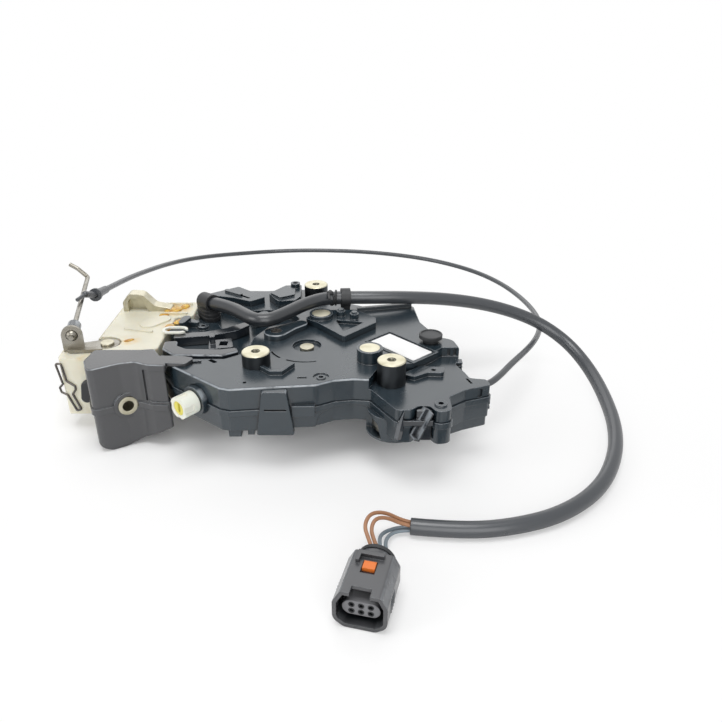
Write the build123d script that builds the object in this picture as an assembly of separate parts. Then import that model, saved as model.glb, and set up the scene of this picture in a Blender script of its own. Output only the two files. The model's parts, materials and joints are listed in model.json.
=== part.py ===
from build123d import *
from math import acos, atan2, cos, degrees, hypot, pi, radians, sin, tan
import os

os.makedirs("parts", exist_ok=True)

# Millimetres. The module lies flat on Z = 0, +X to its right-hand end, +Y to its rear.
# Plan places below are measured from the main gear's axle, and DATUM moves them all
# so that the origin is under the middle of the module, at the surface it lies on.
DATUM = (36.13, -16.84)

# Housing
base_z = 26.0  # underside of the lower shell
seam_z = 39.0  # joint of the two shells
step_z = 46.0  # lower deck, and the floor of the lever recess
deck_z = 52.0  # upper deck
end_z = 20.0  # underside of the right-hand end
wall = 2.5
skin = 2.5
rim_out = 0.9  # how far the sealing rim stands proud of the wall
rim_h = 3.6
deck_edge_r = 1.2

# Running and assembly clearances
fit = 0.05  # a shaft in its hole
gap = 0.35  # between pieces that move past each other

# Threaded bosses: x, y, foot height, top height
boss_r = 8.0
boss_thread_r = 2.5
boss_spigot_r = 5.0
boss_top_z = 60.0
boss_left = (-26.9, -23.9, deck_z)
boss_right = (49.0, -34.6, step_z)
boss_rear = (1.1, 81.1, deck_z)

# Gear train, module and tooth counts
gear_module = 1.6
addendum = 0.8  # in modules
dedendum = 1.15  # in modules
backlash = 0.25
motor_teeth = 9
reduction_teeth = 25
small_teeth = 9
main_teeth = 43
cam_teeth = 14
sector_teeth = 29
gear_t = 5.0
low_gear_z = 29.5
gear_step = 5.8
shaft_r = 3.0
idler_angle = -26.6  # from the main gear to the reduction gear, degrees
lever_angle = 78.3  # from the main gear to the closing lever
motor_angle = -60.7  # from the reduction gear to the motor

# Motor pot under the lower deck
pot_r = 15.5
pot_z = 21.0
motor_r = 12.0
motor_shaft_r = 1.5

# Pivot collars: radius, top and cap
collar_r = 7.4
collar_top_z = 59.5
cap_r = 5.8
cap_t = 1.4
ring_recess_r = 8.6
ring_recess_d = 2.0

# Label
label_size = (35.0, 16.0, 0.3)
label_at = (56.0, -2.4)
label_turn = -47.0

# Latch
latch_top_z = 50.5
plate_x = -128.0  # inner face of the steel plate
plate_t = 2.0
plate_top_z = 48.4
plate_far_y = 74.0
fork_r = 15.5
fork_t = 5.0
fork_room = 0.9  # under the fork in its pocket
fork_side_room = 0.3
fork_close = 50.0  # degrees that the fork turns to close
striker_reach = 12.0  # from the fork's pin to the striker's middle
throat_w = 11.0
notch_d = 3.0
fork_pin_r = 3.5
notch_angles = (42.0, 58.0)
arm_stand_off = 3.4  # the pawl's arm clears the fork's rim by about this
arm_headroom = 5.92  # from the arm's end at the notch to the top of the plate
pawl_pin_r = 3.0
pocket_d = 9.0  # depth of the pocket behind the plate
pocket_wall = 1.6
mouth_w = 13.0
notch_middle = sum(notch_angles) / 2
fork_at = (24.0, plate_top_z - arm_headroom - (fork_r + arm_stand_off) * sin(radians(notch_middle)))
latch_bottom_z = fork_at[1] - fork_r - fork_room - pocket_wall
pawl_at = (fork_at[0] + 36.0, fork_at[1] + 7.0)

# Release lever and rod
release_at = (-121.0, 6.2)
release_arm = 19.0
release_t = 2.0
release_z = 48.0
eye_z = 58.0
eye_r = 3.5
ball_r = eye_r - fit
rod_r = 1.5
rod_turn = 13.9  # the rod's lean away from +Y, degrees
rod_length = 101.8

# Latch cover
cover_top_z = 54.0
cover_bush_at = (-101.6, -28.6, 27.0)
cover_bush_turn = -56.0  # the bush's axis in plan, degrees from +X
cover_bush_r = 5.6
cover_thread_r = 3.25
cover_bush_l = 12.0

# Key coupler in the chamfered wall at the left front
coupler_at = (-57.4, -39.6, 38.5)
coupler_turn = 230.2  # the way that its axis points out, degrees from +X
coupler_collar_r = 8.5
coupler_r = 6.5
coupler_core_r = 4.2

# Cords
sleeve_d = 8.5
wire_d = 1.9
cable_d = 4.0

# Connector
plug_face = (31.5, -166.5)
plug_turn = -14.5
plug_l = 26.0

# Outline of the module in plan, from the left tip round the front: x, y, corner radius
module_outline = [
    (-74.0, -27.0, 3),
    (-43.5, -52.0, 3),
    (-38.0, -54.0, 3),
    (-10.8, -50.8, 4),
    (8.0, -48.8, 8),
    (17.5, -43.6, 5),
    (28.0, -42.0, 6),
    (37.5, -43.0, 2),
    (50.6, -64.8, 3),
    (58.0, -64.6, 2.5),
    (62.6, -60.4, 2),
    (68.4, -60.8, 2),
    (71.8, -67.0, 4),
    (79.6, -65.0, 4),
    (79.4, -51.0, 3),
    (89.0, -43.5, 3),
    (104.2, -37.6, 2),
    (102.0, -31.6, 1.5),
    (93.2, -30.0, 2),
    (91.3, -23.3, 2),
    (87.2, -13.6, 2),
    (90.6, -3.0, 8),
    (88.2, 8.6, 7),
    (79.0, 12.6, 3),
    (70.0, 35.0, 4),
    (67.6, 62.0, 3),
    (36.0, 60.0, 4),
    (12.0, 72.0, 4),
    (10.5, 90.5, 5),
    (-12.0, 92.0, 5),
    (-34.0, 89.0, 4),
    (-54.0, 89.5, 4),
    (-75.0, 73.0, 3),
    (-76.0, 46.0, 3),
    (-86.0, 41.0, 3),
    (-87.0, -6.0, 4),
]

# Lower deck at the right front
step_outline = [
    (36.5, -42.0, 0),
    (41.0, -31.0, 3),
    (52.0, -25.4, 3),
    (62.0, -23.0, 3),
    (80.2, -2.8, 0),
    (120.0, -3.2, 0),
    (120.0, -90.0, 0),
    (36.5, -90.0, 0),
]

# Recess for the lever group, open at the left
lever_recess = [
    (-100.0, -18.0, 0),
    (-46.0, -18.0, 3),
    (-35.0, -10.0, 4),
    (-33.0, 11.0, 4),
    (-27.0, 23.6, 4),
    (-12.0, 31.0, 3),
    (-7.0, 39.0, 3),
    (-14.0, 52.0, 3),
    (-30.0, 54.0, 3),
    (-42.0, 52.0, 3),
    (-62.0, 64.0, 0),
    (-100.0, 52.0, 0),
]

# Pockets under the lower shell that the module rests on
gear_pocket = [
    (-6.0, 3.0, 5),
    (58.0, 3.0, 8),
    (62.0, 50.0, 8),
    (6.0, 56.0, 8),
    (-8.0, 40.0, 8),
]
switch_pocket = [
    (-70.0, 40.0, 6),
    (-24.0, 40.0, 6),
    (-24.0, 68.0, 6),
    (-66.0, 68.0, 6),
]


def at(x, y, z, shape):
    return Pos(x, y, z) * shape


def post(x, y, z0, z1, r):
    return Pos(x, y, (z0 + z1) / 2) * Cylinder(r, z1 - z0)


def block(x0, x1, y0, y1, z0, z1):
    return Pos((x0 + x1) / 2, (y0 + y1) / 2, (z0 + z1) / 2) * Box(x1 - x0, y1 - y0, z1 - z0)


def outline_face(points):
    radii = [p[2] for p in points]
    return make_face(FilletPolyline(*[(p[0], p[1]) for p in points], radius=radii, close=True))


def moved_out(points, amount):
    """The outline's points moved outwards by amount, with corner radii to match."""
    area = sum(a[0] * b[1] - a[1] * b[0] for a, b in zip(points, points[1:] + points[:1]))
    side = 1 if area > 0 else -1
    result = []
    for before, here, after in zip(points[-1:] + points[:-1], points, points[1:] + points[:1]):
        into = Vector(here[0] - before[0], here[1] - before[1]).normalized()
        away = Vector(after[0] - here[0], after[1] - here[1]).normalized()
        normals = Vector(into.Y, -into.X) * side + Vector(away.Y, -away.X) * side
        shift = normals * (amount / (1 + into.dot(away)))
        convex = (into.X * away.Y - into.Y * away.X) * side > 0
        radius = here[2] + amount if convex else here[2] - amount
        if here[2] == 0:
            radius = 0
        result.append((here[0] + shift.X, here[1] + shift.Y, max(radius, 0)))
    return result


def grown(points, amount):
    return outline_face(moved_out(points, amount))


def prism(face, z0, z1):
    return Pos(0, 0, z0) * extrude(face, z1 - z0)


def slab(points, z0, z1):
    return prism(outline_face(points), z0, z1)


def top_edges(shape):
    return shape.edges().group_by(Axis.Z)[-1]


def hull_slab(circles, z0, z1):
    """Prism round a chain of circles: x, y, radius each."""
    edges = Sketch() + [Pos(x, y) * Circle(r) for x, y, r in circles]
    return prism(make_hull(edges.edges()), z0, z1)


def bar_between(start, end, r):
    a, b = Vector(*start), Vector(*end)
    return Plane(origin=a, z_dir=b - a) * Cylinder(r, (b - a).length, align=from_foot)


def facing(x, y, z, turn):
    """Plane whose normal is horizontal, turned from +X by turn degrees."""
    normal = Vector(cos(radians(turn)), sin(radians(turn)), 0)
    return Plane(origin=(x, y, z), x_dir=Vector(-normal.Y, normal.X, 0), z_dir=normal)


def polar(centre, distance, angle):
    return (
        centre[0] + distance * cos(radians(angle)),
        centre[1] + distance * sin(radians(angle)),
    )


def pitch_r(teeth):
    return gear_module * teeth / 2


main_at = (0.0, 0.0)
idler_at = polar(main_at, pitch_r(main_teeth) + pitch_r(small_teeth), idler_angle)
lever_at = polar(main_at, pitch_r(cam_teeth) + pitch_r(sector_teeth), lever_angle)
motor_at = polar(idler_at, pitch_r(reduction_teeth) + pitch_r(motor_teeth), motor_angle)
high_gear_z = low_gear_z + gear_step
motor_top_z = high_gear_z - 5.0
axle_foot_z = base_z + 0.6
from_foot = (Align.CENTER, Align.CENTER, Align.MIN)
under_deck_z = deck_z - skin
floor_z = base_z + skin


def involute(angle):
    return tan(angle) - angle


def tooth_half_angle(teeth, r):
    """Half of a tooth's angle at radius r, for a pressure angle of 20 degrees."""
    base_r = pitch_r(teeth) * cos(radians(20))
    at_pitch = (gear_module * pi / 2 - backlash) / 2 / pitch_r(teeth)
    here = acos(min(1.0, base_r / r))
    return at_pitch + involute(radians(20)) - involute(here)


def gear_face(teeth, phase, bore, first=0, count=None, hub_r=None):
    """Spur gear outline. phase turns the first tooth; count below teeth leaves a sector."""
    count = teeth if count is None else count
    root_r = pitch_r(teeth) - dedendum * gear_module
    tip_r = pitch_r(teeth) + addendum * gear_module
    base_r = pitch_r(teeth) * cos(radians(20))
    start_r = max(root_r, base_r)
    radii = [start_r + (tip_r - start_r) * k / 3 for k in range(4)]
    points = []
    for k in range(first, first + count):
        middle = radians(phase) + 2 * pi * k / teeth
        flank = [(root_r, tooth_half_angle(teeth, start_r) * 1.04)]
        flank += [(r, tooth_half_angle(teeth, r)) for r in radii]
        for r, half in flank:
            points.append((r * cos(middle - half), r * sin(middle - half)))
        for r, half in reversed(flank):
            points.append((r * cos(middle + half), r * sin(middle + half)))
    if count < teeth:
        face = make_face(Polyline((0, 0), *points, close=True)) + Circle(hub_r)
    else:
        face = make_face(Polyline(*points, close=True))
    return face - Circle(bore)


def module_wall(z0, z1):
    return slab(module_outline, z0, z1)


def upper_housing():
    shell = module_wall(seam_z, deck_z)
    shell = fillet(top_edges(shell), deck_edge_r)
    shell -= slab(step_outline, step_z, deck_z + 1)
    shell -= slab(lever_recess, step_z, deck_z + 1)
    inside = grown(module_outline, -wall)
    shell -= prism(inside, seam_z, step_z - skin)
    high = inside - grown(step_outline, wall) - grown(lever_recess, wall)
    shell -= prism(high, step_z - skin - 1, under_deck_z)
    shell += pivot_towers()
    shell -= axle_holes()
    shell += deck_ribs()
    shell -= deck_cuts()
    for x, y, foot in (boss_left, boss_right):
        shell -= post(x, y, foot, deck_z + 5, boss_r + gap)
    shell -= hull_slab([(x, y, boot_rib_r + gap) for x, y in boot_feet], step_z, deck_z + 1)
    shell -= coupler_plane * Cylinder(coupler_collar_r + gap, 8.0, align=from_foot)
    return shell


def pivot_towers():
    tower = post(*idler_at, deck_z - 0.5, collar_top_z, collar_r)
    tower -= post(*idler_at, collar_top_z - cap_t, collar_top_z + 1, cap_r + fit)
    bearing_z = high_gear_z + gear_t + gap
    tower += post(*idler_at, bearing_z, deck_z, shaft_r + 2)
    tower += post(*main_at, bearing_z, deck_z - ring_recess_d, shaft_r + 3)
    tower += post(*lever_at, bearing_z, deck_z, shaft_r + 2)
    return tower


def axle_holes():
    holes = post(*main_at, base_z, deck_z + 1, shaft_r + fit)
    holes += post(*main_at, deck_z - ring_recess_d, deck_z + 1, ring_recess_r)
    holes += post(*idler_at, base_z, collar_top_z, shaft_r + fit)
    holes += post(*lever_at, base_z, deck_z + 1, shaft_r + fit)
    for x, y, foot in (boss_left, boss_right, boss_rear):
        holes += post(x, y, foot - skin - 1, foot, boss_spigot_r + fit)
    holes += post(*rubber_cap_at, deck_z - skin - 1, deck_z + 1, rubber_stem_r + fit)
    holes += post(*screw_at, deck_z - skin - 1, deck_z + 1, screw_shank_r + fit)
    return holes


rubber_cap_at = (74.1, 5.8)
rubber_stem_r = 2.5
screw_at = (-19.5, 13.5)
screw_shank_r = 1.5


def deck_ribs():
    """Stiffening ribs and small stands on the two decks."""
    left_x, left_y, _ = boss_left
    rib = slab(
        [
            (left_x + 3, left_y - 8, 0),
            (left_x + 9, left_y - 14, 1),
            (left_x + 16, left_y - 14, 1),
            (left_x + 22, left_y - 4, 0),
            (left_x + 20.4, left_y - 3.4, 0),
            (left_x + 15, left_y - 12, 1),
            (left_x + 9.6, left_y - 12, 1),
            (left_x + 5, left_y - 7, 0),
        ],
        deck_z - 0.5,
        deck_z + 2.6,
    )
    rib += slab([(30, 51, 0), (66, 59, 0), (65.5, 61.4, 0), (29.4, 53.6, 0)], deck_z - 0.5, deck_z + 2.4)
    wing = [(55, -30, 1), (66, -20, 1), (80, -21.5, 2), (78.6, -28.6, 2), (70, -28, 1), (62, -33, 1)]
    rib += slab(wing, step_z - 0.5, step_z + 2.6)
    lobe_x, lobe_y = lobe_hole_at
    rib += post(lobe_x, lobe_y, step_z - 0.5, step_z + 0.8, 3.4)
    for k in range(3):
        rib += block(88.0, 91.6, -11.4, -6.6, 40.6 + 2.2 * k, 41.8 + 2.2 * k)
    return rib


lobe_hole_at = (74.2, -59.0)
star_at = (10.4, -39.4)
eyelet_at = (73.3, -24.9)


def deck_cuts():
    """Holes and slots that the mould leaves in the decks."""
    cuts = post(*lobe_hole_at, step_z - skin - 1, step_z + 3, 1.5)
    cuts += post(*eyelet_at, step_z, step_z + 3, 1.3)
    cuts += post(-30.4, -46.1, deck_z - 1.5, deck_z + 1, 1.1)
    cuts += post(*star_at, deck_z - 1.5, deck_z + 1, 1.3) + post(*star_at, deck_z - 0.7, deck_z + 1, 4.5)
    cuts -= post(*star_at, deck_z - 0.7, deck_z - 0.1, 2.6) - post(*star_at, deck_z - 1.5, deck_z + 1, 1.3)
    cuts += block(-2.6, 2.6, -41.4, -39.8, deck_z - 1.5, deck_z + 1)
    cuts += at(-61.8, -22.8, deck_z, Rot(0, 0, 10) * Box(7, 4, 3))
    cuts += at(-52.2, -20.8, deck_z, Rot(0, 0, -40) * Box(5.5, 2.6, 3))
    cuts += at(92.5, -33.5, step_z, Rot(0, 0, 20) * Box(1.4, 6, 3))
    for x in (83.4, 87.0):
        cuts += block(x, x + 1.7, -3.6, -1.8, step_z + 0.8, deck_z - 0.9)
    cuts += at(98.0, -40.4, 42.0, Rot(0, 0, 21.2) * Box(2.6, 3.0, 5.0))
    for start, end in ((202, 229), (241, 288)):
        ring = Circle(22.4) - Circle(21.2)
        corners = [polar(main_at, 30, a) for a in (start, (start + end) / 2, end)]
        wedge = make_face(Polyline((0, 0), *corners, close=True))
        cuts += prism(ring & wedge, deck_z - 1.2, deck_z + 1)
    return cuts


def lower_housing():
    shell = module_wall(base_z, seam_z)
    rim = prism(grown(module_outline, rim_out), seam_z - rim_h, seam_z)
    shell += rim
    shell += slab(right_end_outline, end_z, base_z)
    shell += slab(gear_pocket, 0, base_z)
    shell += slab(switch_pocket, 0, base_z)
    shell += post(*motor_at, pot_z, seam_z - rim_h, pot_r)
    shell -= prism(grown(module_outline, -wall), floor_z, seam_z + 1)
    shell -= prism(grown(gear_pocket, -wall), skin, floor_z)
    shell -= prism(grown(switch_pocket, -wall), skin, floor_z)
    shell -= post(*motor_at, pot_z + skin, motor_top_z + gap, motor_r + fit)
    shell -= front_prism(seam_arch, -62.0, -30.0) - prism(grown(module_outline, -0.9), 0, deck_z)
    shell += front_tabs()
    for place in (main_at, idler_at):
        shell += post(*place, base_z, low_gear_z - gap, shaft_r + 2)
        shell -= post(*place, axle_foot_z, low_gear_z, shaft_r + fit)
    shell -= coupler_plane * Cylinder(coupler_collar_r + gap, 8.0, align=from_foot)
    return shell


right_end_outline = [
    (78.5, -49.0, 2),
    (89.0, -43.2, 2),
    (103.4, -37.2, 2),
    (101.4, -32.4, 1.5),
    (92.8, -30.6, 2),
    (90.8, -23.6, 2),
    (86.6, -14.0, 2),
    (74.0, -14.0, 2),
]


def front_tabs():
    """Clip tabs and feet along the front wall."""
    foot_z = base_z - 4.2
    clip_foot_z, clip_top_z = base_z - 1.8, deck_z - 1.2
    clip = [
        (-24.4, clip_foot_z, 1), (-20.4, clip_top_z, 1.5), (-7.4, clip_top_z, 1.5), (-4.0, clip_foot_z, 1),
    ]
    tabs = front_prism(clip, -55.0, -51.0)
    tabs -= block(-19.6, -7.8, -56.0, -53.4, seam_z + 0.2, seam_z + 1.4)
    tabs += block(-5.2, 7.3, -52.2, -49.0, seam_z - 5.0, seam_z + 1.6)
    tabs += block(-40.0, -33.2, -52.6, -46.0, foot_z, base_z + 0.5)
    tabs += block(-30.0, -18.8, -50.6, -46.0, foot_z, base_z + 0.5)
    tabs -= block(-26.4, -21.4, -51.0, -45.0, foot_z - 1, base_z - 1.6)
    tabs += end_clip()
    tabs -= module_wall(seam_z, deck_z)
    return tabs


def end_clip():
    """Ribbed clip on the right-hand end."""
    clip = block(100.0, 103.8, -36.4, -31.4, 29.0, seam_z)
    for k in range(3):
        clip += block(101.0, 104.5, -36.8, -31.0, 30.0 + 3.0 * k, 31.6 + 3.0 * k)
    return clip


seam_arch = [
    (6.0, 22.0, 0),
    (9.0, 32.6, 4),
    (17.0, 36.0, 5),
    (25.0, 37.2, 6),
    (35.0, 36.0, 5),
    (41.0, 31.0, 4),
    (43.0, 22.0, 0),
]


def threaded_boss(place):
    x, y, foot = place
    boss = post(x, y, foot, boss_top_z, boss_r)
    boss = chamfer(top_edges(boss), 0.5)
    boss += post(x, y, foot - skin, foot, boss_spigot_r)
    return boss - post(x, y, foot - skin - 1, boss_top_z + 1, boss_thread_r)


def axle(place, top_z, head_r, foot_z):
    x, y = place
    shaft = post(x, y, foot_z, top_z - cap_t, shaft_r)
    return shaft + post(x, y, top_z - cap_t, top_z, head_r)


def low_gears_phase(centre, other, teeth, gap_first):
    angle = degrees(atan2(other[1] - centre[1], other[0] - centre[0]))
    return angle + (180.0 / teeth if gap_first else 0.0)


def main_gear():
    wheel = gear_face(main_teeth, low_gears_phase(main_at, idler_at, main_teeth, False), shaft_r + fit)
    windows = Sketch() + [
        Pos(*polar(main_at, 22.0, a)) * Circle(6.0) for a in range(20, 380, 60)
    ]
    gear = prism(wheel - windows, low_gear_z, low_gear_z + gear_t)
    cam = gear_face(cam_teeth, low_gears_phase(main_at, lever_at, cam_teeth, False), shaft_r + fit)
    gear += prism(cam, low_gear_z + gear_t, high_gear_z + gear_t)
    return Pos(main_at[0], main_at[1], 0) * gear


def reduction_gear():
    small = gear_face(small_teeth, low_gears_phase(idler_at, main_at, small_teeth, True), shaft_r + fit)
    gear = prism(small, low_gear_z, high_gear_z)
    phase = low_gears_phase(idler_at, motor_at, reduction_teeth, False)
    gear += prism(gear_face(reduction_teeth, phase, shaft_r + fit), high_gear_z, high_gear_z + gear_t)
    return Pos(idler_at[0], idler_at[1], 0) * gear


def motor_pinion():
    phase = low_gears_phase(motor_at, idler_at, motor_teeth, True)
    pinion = prism(gear_face(motor_teeth, phase, motor_shaft_r), high_gear_z, high_gear_z + gear_t)
    pinion += post(0, 0, motor_top_z - 4.0, high_gear_z + gear_t, motor_shaft_r)
    return Pos(motor_at[0], motor_at[1], 0) * pinion


def closing_lever():
    """Toothed sector that the main gear's cam pinion swings, with the pull arm."""
    toward = degrees(atan2(main_at[1] - lever_at[1], main_at[0] - lever_at[0]))
    count = 9
    phase = toward + 180.0 / sector_teeth
    sector = gear_face(sector_teeth, phase, shaft_r + fit, -(count + 1) // 2, count + 1, 7.0)
    lever = prism(sector, high_gear_z, high_gear_z + gear_t)
    arm = hull_slab([(0, 0, 6.5), (-22.0, 5.0, 4.5)], high_gear_z, high_gear_z + gear_t)
    lever += arm - post(0, 0, high_gear_z - 1, high_gear_z + gear_t + 1, shaft_r + fit)
    lever -= post(-22.0, 5.0, high_gear_z - 1, high_gear_z + gear_t + 1, 2.0)
    return Pos(lever_at[0], lever_at[1], 0) * lever


def closing_motor():
    x, y = motor_at
    can = post(x, y, pot_z + skin, motor_top_z, motor_r)
    can += post(x, y, motor_top_z, motor_top_z + 0.4, 5.0)
    return can - post(x, y, motor_top_z - 4.5, high_gear_z, motor_shaft_r + fit)


def platform():
    """Raised diamond bracket with its two pegs and the closing lever's collar."""
    body = slab(platform_outline, deck_z, platform_z)
    body += post(*lever_at, deck_z, collar_top_z - 1.0, collar_r)
    for peg in ((19.5, 35.5), (28.0, 31.0)):
        body += post(*peg, deck_z, collar_top_z, 2.8)
        body += post(*peg, collar_top_z, collar_top_z + 1.2, 1.8)
    body -= slab(platform_pocket, platform_z - 2.4, platform_z + 1)
    body -= post(*lever_at, deck_z - 1, collar_top_z, shaft_r + fit)
    body -= post(*lever_at, collar_top_z - 1.0 - cap_t, collar_top_z + 1, cap_r + fit)
    return body


platform_z = 56.0
platform_outline = [
    (-3.0, 31.0, 2),
    (5.0, 24.6, 3),
    (22.0, 3.6, 1.5),
    (41.6, 25.0, 2),
    (41.6, 32.0, 2),
    (29.0, 45.0, 3),
    (5.0, 44.5, 3),
]
platform_pocket = [
    (21.5, 11.0, 1),
    (34.0, 24.6, 1),
    (28.6, 26.6, 1),
    (16.0, 29.0, 1),
]


def guide_cover():
    cover = hull_slab([(*screw_at, 7.6), (-11.6, 20.6, 5.0)], deck_z, deck_z + 3.4)
    cover += hull_slab([(-11.6, 20.6, 5.0), (-5.4, 25.6, 4.2)], deck_z, deck_z + 3.4)
    cover = fillet(top_edges(cover), 0.9)
    cover -= post(*screw_at, deck_z - 1, deck_z + 6, screw_shank_r + fit)
    return cover - post(*screw_at, deck_z + 1.8, deck_z + 6, 3.4)


def cover_screw():
    screw = post(*screw_at, deck_z + 1.8, deck_z + 3.6, 3.0)
    screw += post(*screw_at, deck_z - skin, deck_z + 1.8, screw_shank_r)
    for turn in (20, 110):
        screw -= at(*screw_at, deck_z + 3.4, Rot(0, 0, turn) * Box(3.6, 0.8, 1.4))
    return screw


def label():
    width, depth, thick = label_size
    sheet = extrude(RectangleRounded(width, depth, 0.8), thick)
    return Pos(*label_at, deck_z) * Rot(0, 0, label_turn) * sheet


def rubber_cap():
    x, y = rubber_cap_at
    cap = post(x, y, deck_z + 2.6, deck_z + 5.0, 7.0)
    cap = fillet(top_edges(cap), 0.6)
    cap -= post(x, y, deck_z + 4.5, deck_z + 6.0, 5.8)
    cap += post(x, y, deck_z, deck_z + 2.6, 4.6)
    return cap + post(x, y, deck_z - skin, deck_z, rubber_stem_r)


# Levers in the recess at the left
lever_gap = 0.3


def front_lever():
    path = [
        (-85.5, 3.0, 2),
        (-84.5, -7.0, 3),
        (-76.0, -15.5, 3),
        (-48.0, -16.0, 2),
        (-39.0, -10.5, 2),
        (-41.0, -5.0, 2),
        (-50.0, -7.4, 3),
        (-70.0, -7.0, 3),
        (-76.6, -2.6, 3),
        (-77.4, 4.0, 2),
    ]
    lever = slab(path, step_z + lever_gap, deck_z + 1.4)
    return fillet(top_edges(lever), 1.2)


def middle_lever():
    path = [
        (-82.0, 10.0, 1.5),
        (-60.0, 14.0, 2),
        (-45.0, 21.0, 2),
        (-38.0, 30.0, 2),
        (-42.0, 34.0, 2),
        (-52.0, 25.0, 2),
        (-64.0, 19.4, 2),
        (-82.0, 16.4, 1.5),
    ]
    return slab(path, step_z + lever_gap, deck_z)


def lever_plate():
    """Plate at the back of the recess, with the stem, the finger and a guide post."""
    path = [(-82.0, 18.6, 2), (-65.0, 22.0, 2), (-55.0, 27.6, 3), (-60.0, 39.0, 4), (-80.0, 39.6, 4)]
    plate = slab(path, step_z, step_z + 3.0)
    plate += post(-68.0, 31.0, step_z + 3.0, step_z + 5.0, 3.4)
    plate -= post(-68.0, 31.0, step_z + 1.0, step_z + 6.0, 1.4)
    stem_x = (clip_at[0][0] + clip_at[1][0]) / 2
    plate += hull_slab([(stem_x, 20.8, 3.6), (stem_x + 2.0, 20.8, 3.6)], step_z + 0.5, stem_top_z)
    plate += hull_slab([(-80.8, 29.4, 2.0), (-79.4, 36.4, 2.6)], step_z + 2.0, 54.4)
    return plate + hull_slab([(-79.4, 36.4, 2.6), (-72.6, 33.6, 1.7)], step_z + 2.0, 52.6)


def lever_bracket():
    body = slab([(-58.0, -3.0, 1), (-44.0, 0.0, 1), (-47.0, 12.0, 1), (-60.0, 8.6, 1)], step_z, deck_z - 1.0)
    stand = [(-58.0, 3.0, 0.8), (-55.0, 4.0, 0.8), (-57.0, 9.0, 0.8), (-60.0, 8.6, 0.8)]
    body += slab(stand, deck_z - 1.0, deck_z + 4.0)
    return body - block(-53.0, -48.0, 2.0, 8.0, step_z + 1.5, deck_z)


def small_lever():
    return hull_slab([(-36.5, 40.0, 2.6), (-31.0, 46.5, 3.0)], step_z, deck_z + 1.0)


# Switch modules at the left rear
def switch_module():
    path = [
        (-74.0, 71.4, 1.5), (-53.6, 86.4, 1.5), (-32.4, 67.4, 1.5), (-41.6, 59.4, 1.5), (-54.0, 66.0, 2),
    ]
    body = slab(path, deck_z, deck_z + 4.0)
    body += hull_slab([(-60.0, 77.0, 1.6), (-50.0, 70.0, 1.6)], deck_z + 4.0, deck_z + 5.4)
    return body - at(-47.0, 68.0, deck_z + 4.0, Rot(0, 0, -38) * Box(10, 2.0, 2.4))


def rear_module():
    path = [
        (-30.6, 71.0, 1.5), (-20.6, 86.0, 1.5), (-9.4, 87.4, 1.5),
        (-8.6, 66.0, 2), (-12.0, 58.6, 1.5), (-23.0, 57.6, 1.5),
    ]
    cap = [(-29.4, 69.0, 1), (-21.1, 80.5, 1.5), (-13.0, 78.0, 1), (-12.6, 66.0, 1), (-21.7, 60.4, 1.5)]
    x, y = -13.4, 83.4
    knob = post(x, y, deck_z + 2.0, deck_z + 8.0, 3.2) - post(x, y, deck_z + 6.4, deck_z + 9.0, 1.7)
    return slab(path, deck_z, deck_z + 5.0) + slab(cap, deck_z + 5.0, deck_z + 6.4) + knob


# Latch
def side_prism(face, x0, x1):
    """Prism along X of a face drawn in Y and Z."""
    return Plane(origin=(x0, 0, 0), x_dir=(0, 1, 0), z_dir=(1, 0, 0)) * extrude(face, x1 - x0)


def front_prism(points, y0, y1):
    """Prism along Y of an outline drawn in X and Z."""
    radii = [p[2] for p in points]
    face = make_face(FilletPolyline(*[(p[0], p[1]) for p in points], radius=radii, close=True))
    return Plane(origin=(0, y1, 0), x_dir=(1, 0, 0), z_dir=(0, -1, 0)) * extrude(face, y1 - y0)


def wedge_face(reach, start, end):
    count = max(2, int((end - start) / 40) + 1)
    rim = [polar((0, 0), reach, start + (end - start) * k / count) for k in range(count + 1)]
    return make_face(Polyline((0, 0), *rim, close=True))


def turned_about(place, angle, sketch):
    return Pos(*place) * Rot(0, 0, angle) * Pos(-place[0], -place[1]) * sketch


def mouth_face(width):
    middle_y, middle_z = fork_at[0] + striker_reach, fork_at[1]
    slot = Pos(middle_y, middle_z) * Circle(width / 2)
    depth = middle_z - latch_bottom_z + 4
    return slot + Pos(middle_y, middle_z - depth / 2) * Rectangle(width, depth)


def latch_body():
    """Nylon body: the fork's pocket on the left face, the lever's recess on top."""
    body = slab(latch_outline, latch_bottom_z, latch_top_z)
    body = fillet(top_edges(body), 1.0)
    back_x = plate_x + pocket_d
    near, far = pocket_y
    floor = latch_bottom_z + pocket_wall
    body -= block(plate_x - 20, back_x, near, far, floor, release_z - 1.8)
    body -= block(plate_x - 20, back_x, slot_y + 1.4, far, floor, plate_top_z - 0.4)
    body -= block(plate_x - 20, plate_x, near - 2, far + 9, latch_bottom_z - 1, latch_top_z + 1)
    body -= side_prism(mouth_face(mouth_w), plate_x - 1, back_x)
    for y, z, r in ((*fork_at, fork_pin_r), (*pawl_at, pawl_pin_r)):
        body -= side_prism(Pos(y, z) * Circle(r + fit), back_x - 1, back_x + pin_seat)
        body -= side_prism(Pos(y, z) * Circle(coil_r(r) + spring_r + gap), back_x - 1, spring_x + 4.8)
    x, y = release_at
    body -= post(x, y, release_z - gap, latch_top_z + 1, release_hub_r + 1.2)
    body -= block(-150, x, -12.0, slot_y, release_z - gap, latch_top_z + 1)
    body -= post(x, y, release_pin_foot_z, latch_top_z, release_pin_r + fit)
    pad = hull_slab([(-103.0, 34.0, 6.0), (-96.0, 41.0, 5.0)], latch_top_z, latch_top_z + 1.0)
    rib = [(-117.0, 26.0, 0), (-98.0, 21.0, 0), (-97.6, 22.6, 0), (-116.4, 27.6, 0)]
    pad += slab(rib, latch_top_z, latch_top_z + 0.9)
    for y0 in (49.0, 65.4):
        pad += block(-100.0, -82.0, y0, y0 + 1.4, latch_top_z, latch_top_z + 1.6)
    return body + pad


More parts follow.
